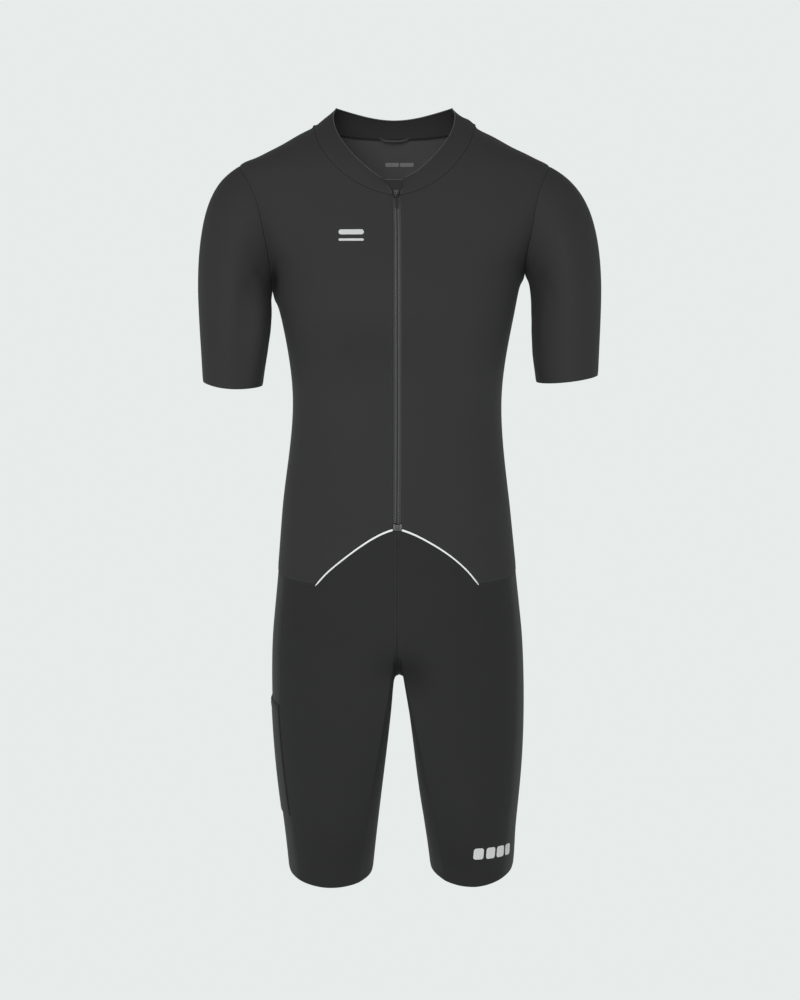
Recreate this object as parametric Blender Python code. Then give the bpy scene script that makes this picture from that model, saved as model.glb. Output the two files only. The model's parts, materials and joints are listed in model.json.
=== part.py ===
"""Short-sleeved cycling skinsuit, worn shape, as a maker would cut and sew it.

Metres, +Z up, the front faces -Y and the wearer's left is +X. The origin is the middle of the neck opening,
level with the shoulders' neck points, which is where the wearer's shoulders carry the suit.
"""

import math

import bmesh
import bpy
import numpy as np
from mathutils import Matrix, Vector

MM = 0.001

# Driving dimensions, in millimetres.
CLOTH = 1.5  # wall of every panel
SEAM_GAP = 0.3  # between neighbouring pieces
TAPE = 1.0  # wall of the zip tapes and the guard

ZIP_HALF = 5.2  # centre line to the front panels' edges
PLACKET = 14.0  # centre line to the end of the flat strip beside the zip
ARCH_TOP = -523.5  # height of the jersey's edge at the zip
ARCH_REACH = 106.5  # centre line to the end of the piping
ARCH_DROP = 74.0  # the arch's end below its top
SIDE_HEM = -588.0  # height of the jersey's edge at the side
BACK_HEM = -562.0  # and at the centre back

NECK_SIDE = (107.0, 3.0)  # half-width and height of the collar seam on the shoulder
NECK_FRONT_DROP = 97.0
NECK_FRONT_POWER = 1.7
NECK_BACK_DROP = 15.0

ARMPIT = -180.0
SHOULDER_TIP = -50.0
ARMHOLE_FRONT = 50.0  # reach in front of the side line
ARMHOLE_BACK = 62.0

HIP_ROW = -660.0  # the last full ring
CROTCH = -735.0
CROTCH_POWER = 3.4
CROTCH_LEAN = 2.7  # its lowest point, to the wearer's left
CROTCH_LIFT = 17.0  # the front's rise towards the belly

# Torso rings. width is the half-width; front, side and back are the Y of those lines; square is the
# exponent of the oval. Between the shoulder tip and the armpit the width is that of the whole shoulder.
TORSO = (
    # z, width, front, side, back, square
    (3, 107, -38, 8, 60, 2.0),
    (-25, 156, -53, 6, 79, 2.1),
    (-50, 206.5, -64, 4, 93, 2.2),
    (-78, 216, -75, 3, 105, 2.25),
    (-115, 205, -88, 2, 114, 2.3),
    (-155, 181, -101, 1, 118, 2.35),
    (-180, 167, -108, 0, 118, 2.4),
    (-237, 159, -116, 0, 112, 2.4),
    (-300, 145, -115, 0, 99, 2.4),
    (-370, 138, -109, -2, 87, 2.4),
    (-440, 143, -105, -2, 88, 2.35),
    (-500, 151, -104, 0, 97, 2.3),
    (-560, 157, -105, 2, 108, 2.3),
    (-610, 162, -106, 3, 117, 2.3),
    (-660, 167, -105, 4, 122, 2.3),
    (-720, 172, -102, 4, 120, 2.3),
)

# Collar: for each turn round the neck seam, from the front end to the centre back, the top edge.
COLLAR_TOP = (
    # turn, x, y, z
    (6, 17, -72, -71),
    (27, 34, -68, -58),
    (43, 52, -60, -41),
    (60, 66, -47, -24),
    (76, 78, -28, -3),
    (90, 82, -5, 17),
    (108, 78, 22, 27),
    (135, 62, 47, 24),
    (160, 30, 62, 16),
    (180, 0, 66, 13),
)

# Sleeve: how each lengthwise line leaves the armhole. turn 0 is the shoulder tip, 90 the front, 180 the
# underarm; slope is its angle below level, lead and rise the pull of its two ends, swell its bulge in Y.
SLEEVE_LINES = (
    # turn, slope, lead, rise, swell
    (0, 25, 92, 125, 0),
    (45, 24, 72, 130, 9),
    (90, 22, 50, 125, 12),
    (135, 48, 38, 100, 6),
    (180, 86, 45, 60, 0),
)
UNDERARM_SPREAD = {"right": 0.0, "left": 13.0}  # how much further out the underarm line first runs
# Cuffs: half-width and half-depth, the middle's x, y and z, and how far the outer edge sits above the inner.
CUFFS = {
    "right": (40.5, 50.0, 219.0, -8.0, -344.0, 0.0),
    "left": (41.5, 50.0, 226.0, -8.0, -337.0, 5.0),
}

# Leg openings: half-width, half-depth, the middle's x, y and z, the front's drop below the back, and how
# far the outer and the inner side curve up.
LEG_HEMS = {
    "right": (57.0, 62.0, 89.0, 6.0, -990.0, 30.0, 5.0, -1.0),
    "left": (55.5, 62.0, 99.0, 6.0, -990.0, 30.0, 6.0, 2.0),
}
CROTCH_SPREAD = {"right": 2.0, "left": 3.0}  # how far from the middle each inner thigh first runs
CROTCH_ROUND = 26.0  # how roundly the gap opens below the crotch
# The body leans this far to the wearer's left at each height.
SWAY = (
    # z, x
    (40, -4.5),
    (-50, -4.0),
    (-90, -1.5),
    (-140, 0.0),
    (-420, 0.0),
    (-520, -0.7),
    (-600, -0.4),
    (-700, 0.0),
    (-1020, 0.0),
)
# The side panel's seams, as turns at the hip ring and at the leg opening (0 front, 90 outside, 180 back).
SIDE_FRONT = (68.0, 50.0)
SIDE_BACK = (112.0, 128.0)
CENTRE_FRONT = (0.0, -45.0)
CENTRE_BACK = (180.0, 225.0)

# Columns round the torso, in degrees from centre front, besides the two straight ones beside the zip.
FRONT_TURNS = (9, 18, 25.5, 32, 38.5, 48, 58, 68, 79, 90)
BACK_TURNS = (98, 105, 112, 121, 130, 139, 148, 156, 164, 172, 180)
JERSEY_ROWS = 9  # from the hem up to the armpit
ARMHOLE_ROWS = 10  # from the armpit up to the shoulder tip
ZIP_ROWS = 3  # of those, the ones that end on the zip; the rest end on the neck
BACK_ROWS = 5  # of those, the ones that end on the centre back
HIP_ROWS = 3
CROTCH_COLUMNS = 8
SLEEVE_STEPS = (0, 0.1, 0.22, 0.36, 0.52, 0.68, 0.84, 1)
LEG_STEPS = (0, 0.05, 0.13, 0.25, 0.38, 0.52, 0.66, 0.8, 0.91, 1)
COLLAR_STEPS = (0, 0.35, 0.7, 1)
COLLAR_BULGE = 2.0

SHORTS_SUNK = 0.8  # the shorts' outer face below the jersey's
TAPE_NEAR = 2.4  # from the panel's edge towards the middle
TAPE_FAR = 7.0  # and back under the panel
TAPE_DEPTH = 2.1  # the tape's face below the panel's
CHAIN_HALF = 2.4
BOX_HALF = 4.6
BOX_LOW, BOX_TOP = -523.1, -515.2
SLIDER_BELOW = 1.0  # the chain's top below the neck seam
SLIDER_LENGTH = 8.0
TAB_AXIS = 2.3  # in front of the zip's line
TAB_WIDTH, TAB_THICK, TAB_LENGTH = 5.0, 1.0, 22.5
GUARD_LOW, GUARD_TOP = -106.0, -70.5
GUARD_ACROSS = ((-14.5, 3.7), (-6.5, 7.3), (6.5, 7.3), (14.5, 3.7))  # across, depth behind the panel's face
PIPING = 2.7
PIPING_GAP = 0.45
POCKET_TOP, POCKET_LOW, POCKET_SLANT = -752.0, -914.0, 14.0
POCKET_INSET = 0.12  # of a column
HANGER_HALF, HANGER_TOP, HANGER_DROP, HANGER_TAPE = 16.0, -9.0, 5.0, 4.0
HANGER_STEPS = 8
HANGER_CLEAR, HANGER_SAG = 1.1, 3.0

COLOURS = {
    # base colour, roughness, metallic
    "jersey_cloth": ((0.036, 0.037, 0.037), 0.7, 0.0),
    "shorts_cloth": ((0.026, 0.027, 0.027), 0.7, 0.0),
    "mesh_cloth": ((0.05, 0.054, 0.053), 0.75, 0.0),
    "collar_cloth": ((0.042, 0.043, 0.043), 0.7, 0.0),
    "reflective": ((0.82, 0.83, 0.82), 0.4, 0.0),
    "zip_tape": ((0.075, 0.076, 0.076), 0.65, 0.0),
    "zip_metal": ((0.13, 0.13, 0.13), 0.45, 0.6),
}


# ---------------------------------------------------------------- curves


def smooth(rows, column, at):
    """The column of a table as a smooth curve over its first column, with no overshoot between rows."""
    rows = sorted(rows)
    x = np.array([row[0] for row in rows], float)
    y = np.array([row[column] for row in rows], float)
    step = np.diff(x)
    slope = np.diff(y) / step
    tangent = np.zeros(len(x))
    tangent[0] = slope[0]
    tangent[-1] = slope[-1]
    for i in range(1, len(x) - 1):
        before, after = slope[i - 1], slope[i]
        if before * after > 0:
            weight_a = 2 * step[i] + step[i - 1]
            weight_b = step[i] + 2 * step[i - 1]
            tangent[i] = (weight_a + weight_b) / (weight_a / before + weight_b / after)
    i = int(np.clip(np.searchsorted(x, at) - 1, 0, len(x) - 2))
    t = np.clip((at - x[i]) / step[i], 0, 1)
    return (
        (1 + 2 * t) * (1 - t) ** 2 * y[i]
        + t * (1 - t) ** 2 * step[i] * tangent[i]
        + t * t * (3 - 2 * t) * y[i + 1]
        + t * t * (t - 1) * step[i] * tangent[i + 1]
    )


def bezier(start, start_pull, end_pull, end, t):
    """A cubic curve; the pulls are counted from its two ends."""
    a, d = np.array(start, float), np.array(end, float)
    b, c = a + start_pull, d + end_pull
    return (1 - t) ** 3 * a + 3 * t * (1 - t) ** 2 * b + 3 * t * t * (1 - t) * c + t**3 * d


def oval(turn, power):
    """(sine, cosine) bent to a rounder-cornered oval."""
    angle = math.radians(turn)
    s, c = math.sin(angle), math.cos(angle)
    return (
        math.copysign(abs(s) ** (2 / power), s),
        math.copysign(abs(c) ** (2 / power), c),
    )


# ---------------------------------------------------------------- surfaces, wearer's left half, in mm


def ring(z):
    return [smooth(TORSO, column, z) for column in range(1, 6)]


def torso(z, turn):
    """The torso's surface: turn 0 is centre front, 90 the side, 180 centre back."""
    width, front, side, back, power = ring(z)
    s, c = oval(turn, power)
    reach = side - front if c > 0 else back - side
    return np.array([width * s, side - reach * c, z])


def turn_at_x(z, x, behind=False):
    """The turn at which the torso ring at z is x from the middle."""
    width, *_, power = ring(z)
    turn = math.degrees(math.asin(min(1.0, (x / width)) ** (power / 2)))
    return 180 - turn if behind else turn


def turn_at_reach(z, reach):
    """The turn at which the torso ring at z lies reach in front of (or, if negative, behind) the side line."""
    _, front, side, back, power = ring(z)
    whole = side - front if reach > 0 else back - side
    turn = math.degrees(math.acos(min(1.0, abs(reach) / whole) ** (power / 2)))
    return turn if reach > 0 else 180 - turn


def neck_seam(turn):
    """(height, torso turn) of the collar seam; turn 0 is centre front, 90 the shoulder, 180 centre back."""
    half_width, height = NECK_SIDE
    if turn <= 90:
        s, c = oval(turn, NECK_FRONT_POWER)
        z = height - NECK_FRONT_DROP * c
        return z, turn_at_x(z, half_width * s)
    x = half_width * math.sin(math.radians(turn))
    z = height - NECK_BACK_DROP * math.cos(math.radians(180 - turn)) ** 1.3
    return z, turn_at_x(z, x, behind=True)


def hem_height(turn):
    """Height of the jersey's lower edge: an arch to the end of the piping, then up round the side."""
    corner = turn_at_x(ARCH_TOP - ARCH_DROP, ARCH_REACH)
    arch_end = ARCH_TOP - ARCH_DROP
    if turn <= corner:
        x = torso((ARCH_TOP + arch_end) / 2, turn)[0] / ARCH_REACH
        return ARCH_TOP - ARCH_DROP * min(1.0, x) ** 1.55
    if turn <= 90:
        t = (turn - corner) / (90 - corner)
        return arch_end + (SIDE_HEM - arch_end) * t**1.7
    t = (turn - 90) / 90
    return SIDE_HEM + (BACK_HEM - SIDE_HEM) * math.sin(math.radians(90 * t))


def armhole(turn):
    """(height, torso turn) of the armhole seam; turn 0 is the shoulder tip, 90 the front, 180 the armpit."""
    s, c = math.sin(math.radians(turn)), math.cos(math.radians(turn))
    z = (ARMPIT + SHOULDER_TIP) / 2 + (SHOULDER_TIP - ARMPIT) / 2 * c
    if abs(s) < 1e-6:
        return z, 90.0
    return z, turn_at_reach(z, s * (ARMHOLE_FRONT if s > 0 else ARMHOLE_BACK))


def sleeve(side, turn, t):
    """The sleeve's surface: turn as at the armhole, t from 0 at the armhole to 1 at the cuff."""
    half_width, half_depth, x, y, z, lift = CUFFS[side]
    angle = math.radians(turn)
    around = min(turn, 360 - turn)
    slope, lead, rise, swell = (smooth(SLEEVE_LINES, column, around) for column in range(1, 5))
    forward = -math.copysign(1, math.sin(angle))
    start = torso(*armhole(turn))
    end = (
        x + half_width * math.cos(angle),
        y - half_depth * math.sin(angle),
        z + lift * math.cos(angle) - 3 * math.sin(angle),
    )
    slope = math.radians(slope)
    pull = (lead * math.cos(slope), swell * forward, -lead * math.sin(slope))
    under = (1 - math.cos(math.radians(around))) / 2
    pull = (pull[0] + UNDERARM_SPREAD[side] * under**6, pull[1], pull[2])
    outward = (4 if math.cos(angle) > 0 else 9) * math.cos(angle)
    return bezier(start, pull, (outward, 0.6 * swell * forward, rise), end, t)


def leg_top(side, turn):
    """(point, pull) where a lengthwise line of the leg starts: on the hip ring up to turn 180, then along
    the crotch curve, from the centre back at 180 through the crotch at 270 to the centre front at 360."""
    if turn <= 180:
        point = torso(HIP_ROW, turn)
        below = torso(HIP_ROW - 10, turn)
        inner = abs(math.cos(math.radians(turn))) ** 6
        return point, (below - point) * (11 - 5 * inner)
    angle = math.radians(turn - 180)
    front, back = torso(HIP_ROW, 0)[1], torso(HIP_ROW, 180)[1]
    s, c = oval(turn - 180, CROTCH_POWER)
    lean = CROTCH_LEAN * math.sin(angle) ** 3 * (1 if side == "left" else -1)
    drop = (CROTCH - HIP_ROW) * s + CROTCH_LIFT * s * max(0.0, -c)
    point = np.array([lean, (front + back) / 2 + (back - front) / 2 * c, HIP_ROW + drop])
    along = np.array([0, -(back - front) / 2 * math.sin(angle), (CROTCH - HIP_ROW) * math.cos(angle)])
    if turn > 270:
        along = -along
    along = along / np.linalg.norm(along)
    flat = math.sin(angle) ** 1.5
    return point, along * 60 * (1 - flat) ** 2 + np.array([CROTCH_SPREAD[side] * flat, 0, 0])


def leg(side, turn, t):
    """The leg's surface: turn as at leg_top, t from 0 at the top to 1 at the opening."""
    half_width, half_depth, x, y, z, drop, outer, inner = LEG_HEMS[side]
    marks = [CENTRE_FRONT, SIDE_FRONT, SIDE_BACK, CENTRE_BACK, (360.0, CENTRE_FRONT[1] + 360)]
    angle = math.radians(np.interp(turn, *zip(*marks)))
    start, pull = leg_top(side, turn)
    s, c = math.sin(angle), math.cos(angle)
    curve = (outer if s > 0 else inner) * s * s
    end = np.array([x + half_width * s, y - half_depth * c, z - drop / 2 * c + curve])
    rise = np.array([9 * s - 2, -10 * c, 105])
    point = bezier(start, pull, rise, end, t)
    if 180 < turn < 360:
        point[0] += CROTCH_ROUND * math.sin(math.radians(turn - 180)) ** 0.6 * t / (t + 0.2) * (1 - t) ** 5
    return point


def collar(turn, t):
    """The collar's surface, from its seam to its top edge."""
    seam = torso(*neck_seam(turn))
    top = np.array([smooth(COLLAR_TOP, column, turn) for column in (1, 2, 3)])
    outward = np.array([math.sin(math.radians(turn)), -math.cos(math.radians(turn)), 0.3])
    return seam + (top - seam) * t + outward * COLLAR_BULGE * 4 * t * (1 - t)


# ---------------------------------------------------------------- the reference surface


class Cloth:
    """The whole suit's outer surface as shared points, with each face marked by its panel."""

    def __init__(self):
        self.points = []
        self.index = {}
        self.faces = []

    def point(self, co):
        key = tuple(np.round(np.array(co, float), 2) + 0.0)
        if key not in self.index:
            self.index[key] = len(self.points)
            self.points.append(np.array(co, float))
        return self.index[key]

    def sheet(self, panel, grid, group="body", flip=False):
        """Adds a grid of points, rows upwards and columns to the wearer's left, as faces of a panel."""
        ids = [[self.point(co) for co in row] for row in grid]
        for lower, upper in zip(ids, ids[1:]):
            for j in range(len(lower) - 1):
                face = [lower[j], lower[j + 1], upper[j + 1], upper[j]]
                face = [v for k, v in enumerate(face) if v != face[k - 1]]
                if len(face) > 2:
                    self.faces.append((panel, group, face[::-1] if flip else face))

    def normals(self):
        """For each point and group, (unit normal, stretch that keeps the wall's thickness at a fold)."""
        around = {}
        for _, group, face in self.faces:
            corners = [self.points[v] for v in face]
            for k, v in enumerate(face):
                a = corners[k - 1] - corners[k]
                b = corners[(k + 1) % len(face)] - corners[k]
                normal = np.cross(b, a)
                size = np.linalg.norm(normal)
                if size < 1e-9:
                    continue
                angle = math.atan2(size, float(a @ b))
                around.setdefault((v, group), []).append((normal / size, angle))
        found = {}
        for (v, group), near in around.items():
            found[v, group] = blended(near)
        for v in {v for v, _ in around}:
            groups = [g for g in ("body", "sleeve") if (v, g) in around]
            if len(groups) == 2 and found[v, "body"][0] @ found[v, "sleeve"][0] > 0.3:
                both = blended(around[v, "body"] + around[v, "sleeve"])
                found[v, "body"] = found[v, "sleeve"] = both
            elif len(groups) == 2:
                for group in groups:
                    normal, stretch = found[v, group]
                    found[v, group] = (normal, stretch, SEAM_GAP / 2)
        return found


def blended(near):
    total = sum(normal * angle for normal, angle in near)
    total = total / np.linalg.norm(total)
    weight = sum(angle for _, angle in near)
    share = sum(float(normal @ total) * angle for normal, angle in near) / weight
    return total, 1 / max(0.55, share)


def mirrored(grid):
    return [[np.array(co) * (-1, 1, 1) for co in row[::-1]] for row in grid]


def spread(first, last, count):
    return [first + (last - first) * k / count for k in range(count + 1)]


def columns(z):
    """The turns of the torso's columns at z: centre front, two beside the zip, then the tables' turns."""
    return [0.0, turn_at_x(z, ZIP_HALF), turn_at_x(z, PLACKET), *FRONT_TURNS, *BACK_TURNS]


SIDE = 2 + len(FRONT_TURNS)  # the side line's place among the columns


def lower_grid(places):
    """Jersey from its hem up to the armpit, for these places among the columns."""
    at_hem = columns(ARCH_TOP)
    grid = []
    for k in range(JERSEY_ROWS + 1):
        row = []
        for j in places:
            hem = hem_height(at_hem[j])
            z = hem + (ARMPIT - hem) * k / JERSEY_ROWS
            row.append(torso(z, columns(z)[j]))
        grid.append(row)
    return grid


def upper_grid(places, inner_rows, inner_turn, neck_turns):
    """From the armpit up: each row runs from the zip or centre back, or the neck, out to the armhole."""
    straight = len(neck_turns) - 1
    top_z = neck_seam(neck_turns[0])[0]
    inner = [(z, inner_turn(z)) for z in spread(ARMPIT, top_z, inner_rows)[:-1]]
    inner += [neck_seam(turn) for turn in neck_turns]
    outer_turns = spread(180, 0, inner_rows + straight)
    if inner_turn(ARMPIT) > 90:
        outer_turns = [360 - turn for turn in outer_turns]
    outer = [armhole(turn % 360) for turn in outer_turns]
    base = [columns(ARMPIT)[j] for j in places]
    share = [(turn - base[0]) / (base[-1] - base[0]) for turn in base]
    grid = []
    for k, ((z0, turn0), (z1, turn1)) in enumerate(zip(inner, outer)):
        even = max(0, k - inner_rows) / straight
        row = []
        for j, part in enumerate(share):
            s = part + (j / (len(share) - 1) - part) * even
            row.append(torso(z0 + (z1 - z0) * s, turn0 + (turn1 - turn0) * s))
        grid.append(row)
    return grid


def neck_turn_at_zip():
    """The neck seam's turn where it reaches the front panel's zip edge."""
    s = ZIP_HALF / NECK_SIDE[0]
    return math.degrees(math.asin(s ** (NECK_FRONT_POWER / 2)))


def jersey_grids():
    """(front, back, collar) of the wearer's left half."""
    front_neck = spread(neck_turn_at_zip(), 90, ARMHOLE_ROWS - ZIP_ROWS)
    back_neck = spread(180, 90, ARMHOLE_ROWS - BACK_ROWS)
    places = list(range(1, SIDE + 1))
    front = lower_grid(places)
    front += upper_grid(places, ZIP_ROWS, lambda z: turn_at_x(z, ZIP_HALF), front_neck)[1:]
    places = list(range(SIDE + len(BACK_TURNS), SIDE - 1, -1))
    back = lower_grid(places)
    back += upper_grid(places, BACK_ROWS, lambda z: 180.0, back_neck)[1:]
    neck_turns = front_neck + back_neck[::-1][1:]
    band = [[collar(turn, t) for turn in neck_turns] for t in COLLAR_STEPS]
    return front, back, band


def shorts_grids(side):
    """name: (leg grid, hip grid) of one leg, both from the bottom up, as if on the wearer's left."""
    at_hip = columns(HIP_ROW)
    at_hem = columns(ARCH_TOP)
    crotch = spread(180, 360, CROTCH_COLUMNS)
    found = {}
    for name, first, last in (
        ("front", 0.0, SIDE_FRONT[0]),
        ("side", SIDE_FRONT[0], SIDE_BACK[0]),
        ("back", SIDE_BACK[0], 180.0),
    ):
        places = [j for j, turn in enumerate(at_hip) if first <= turn <= last]
        turns = [at_hip[j] for j in places]
        hips = []
        for k in range(HIP_ROWS + 1):
            row = []
            for j in places:
                z = HIP_ROW + (hem_height(at_hem[j]) - HIP_ROW) * k / HIP_ROWS
                row.append(torso(z, columns(z)[j]))
            hips.append(row)
        if name == "front":
            turns = [turn for turn in crotch if 270 <= turn < 360] + turns
        if name == "back":
            turns = turns + [turn for turn in crotch if 180 < turn <= 270]
        legs = [[leg(side, turn, t) for turn in turns] for t in LEG_STEPS[::-1]]
        found[name] = (legs, hips)
    return found


def cut_suit():
    """The suit's panels, laid on the body surface and sharing their edges."""
    cloth = Cloth()
    front, back, band = jersey_grids()
    cloth.sheet("jersey_front_left", front)
    cloth.sheet("jersey_front_right", mirrored(front))
    cloth.sheet("jersey_back", back, flip=True)
    cloth.sheet("jersey_back", mirrored(back), flip=True)
    cloth.sheet("collar", band)
    cloth.sheet("collar", mirrored(band))
    turns = spread(0, 180, ARMHOLE_ROWS) + spread(180, 360, ARMHOLE_ROWS)[1:]
    for side in ("left", "right"):
        grid = [[sleeve(side, turn % 360, t) for turn in turns] for t in SLEEVE_STEPS[::-1]]
        if side == "right":
            grid = mirrored(grid)
        cloth.sheet(f"sleeve_{side}", grid, group="sleeve", flip=True)
    for side in ("left", "right"):
        for name, grids in shorts_grids(side).items():
            for grid in grids:
                cloth.sheet(f"shorts_{name}_{side}", grid if side == "left" else mirrored(grid))
    return cloth


# ---------------------------------------------------------------- solids


def add_object(name, points, faces, look, origin=(0, 0, 0)):
    """A mesh object from points in millimetres, with a material of its own."""
    mesh = bpy.data.meshes.new(name)
    leant = [np.array(p) + (smooth(SWAY, 1, p[2]), 0, 0) for p in points]
    mesh.from_pydata([tuple((p - origin) * MM) for p in leant], [], faces)
    mesh.validate()
    obj = bpy.data.objects.new(name, mesh)
    obj.location = Vector(origin) * MM
    bpy.context.scene.collection.objects.link(obj)
    colour, roughness, metallic = COLOURS[look]
    material = bpy.data.materials.new(name)
    material.use_nodes = True
    shader = material.node_tree.nodes["Principled BSDF"]
    shader.inputs["Base Color"].default_value = (*colour, 1)
    shader.inputs["Roughness"].default_value = roughness
    shader.inputs["Metallic"].default_value = metallic
    material.diffuse_color = (*colour, 1)
    mesh.materials.append(material)
    return obj


def edge_insets(cloth, faces, normals, group):
    """For each point on the panel's edge, the move that draws the edge back by half a seam gap."""
    directed = {}
    for face in faces:
        for k, v in enumerate(face):
            directed[face[k - 1], v] = True
    sides = {}
    rim = []
    for a, b in directed:
        if (b, a) in directed:
            continue
        rim.append((a, b))
        along = cloth.points[b] - cloth.points[a]
        across = np.cross(normals[a, group][0] + normals[b, group][0], along)
        across = across / np.linalg.norm(across)
        sides.setdefault(a, []).append(across)
        sides.setdefault(b, []).append(across)
    insets = {}
    for v, found in sides.items():
        total = sum(found)
        share = float(total @ total) / len(found) ** 2
        insets[v] = total / len(found) / max(share, 0.3) * SEAM_GAP / 2
    return rim, insets


def add_panel(cloth, normals, name, look, sunk=0.0):
    """One cut piece as a wall of cloth whose outer face is sunk below the body surface."""
    mine = [(group, face) for panel, group, face in cloth.faces if panel == name]
    group = mine[0][0]
    faces = [face for _, face in mine]
    rim, insets = edge_insets(cloth, faces, normals, group)
    used = sorted({v for face in faces for v in face})
    place = {v: k for k, v in enumerate(used)}
    outer, inner = [], []
    for v in used:
        normal, stretch, *fold = normals[v, group]
        base = cloth.points[v] + insets.get(v, np.zeros(3))
        below = sunk + (fold[0] if fold else 0.0)
        outer.append(base - normal * below * stretch)
        inner.append(base - normal * (below + CLOTH) * stretch)
    count = len(used)
    skin = [[place[v] for v in face] for face in faces]
    solid = skin + [[v + count for v in face[::-1]] for face in skin]
    solid += [[place[b], place[a], place[a] + count, place[b] + count] for a, b in rim]
    return add_object(name, outer + inner, solid, look)


def add_loft(name, sections, look, origin=(0, 0, 0)):
    """A closed solid through loops of points, all with the same count, with its two ends capped."""
    size = len(sections[0])
    points = [point for section in sections for point in section]
    faces = [list(range(size))[::-1], list(range(len(points) - size, len(points)))]
    for k in range(len(sections) - 1):
        for j in range(size):
            a, b = k * size + j, k * size + (j + 1) % size
            faces.append([a, b, b + size, a + size])
    obj = add_object(name, points, faces, look, origin)
    tidy = bmesh.new()
    tidy.from_mesh(obj.data)
    bmesh.ops.recalc_face_normals(tidy, faces=tidy.faces)
    tidy.to_mesh(obj.data)
    tidy.free()
    return obj


# ---------------------------------------------------------------- trims


class Laid:
    """A grid of the cloth's points with their normals, for what lies on or behind a panel."""

    def __init__(self, cloth, normals, grid, group="body"):
        self.points = [[np.array(p) for p in row] for row in grid]
        self.normals = [[normals[cloth.point(p), group][:2] for p in row] for row in grid]

    def at(self, row, column, out):
        """The point at fractional places in the grid, moved out from the body surface."""
        i = min(int(row), len(self.points) - 2)
        j = min(int(column), len(self.points[0]) - 2)
        u, v = row - i, column - j
        total = np.zeros(3)
        for di, dj, weight in ((0, 0, (1 - u) * (1 - v)), (0, 1, (1 - u) * v), (1, 0, u * (1 - v)), (1, 1, u * v)):
            normal, stretch = self.normals[i + di][j + dj]
            total = total + weight * (self.points[i + di][j + dj] + normal * stretch * out)
        return total


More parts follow.
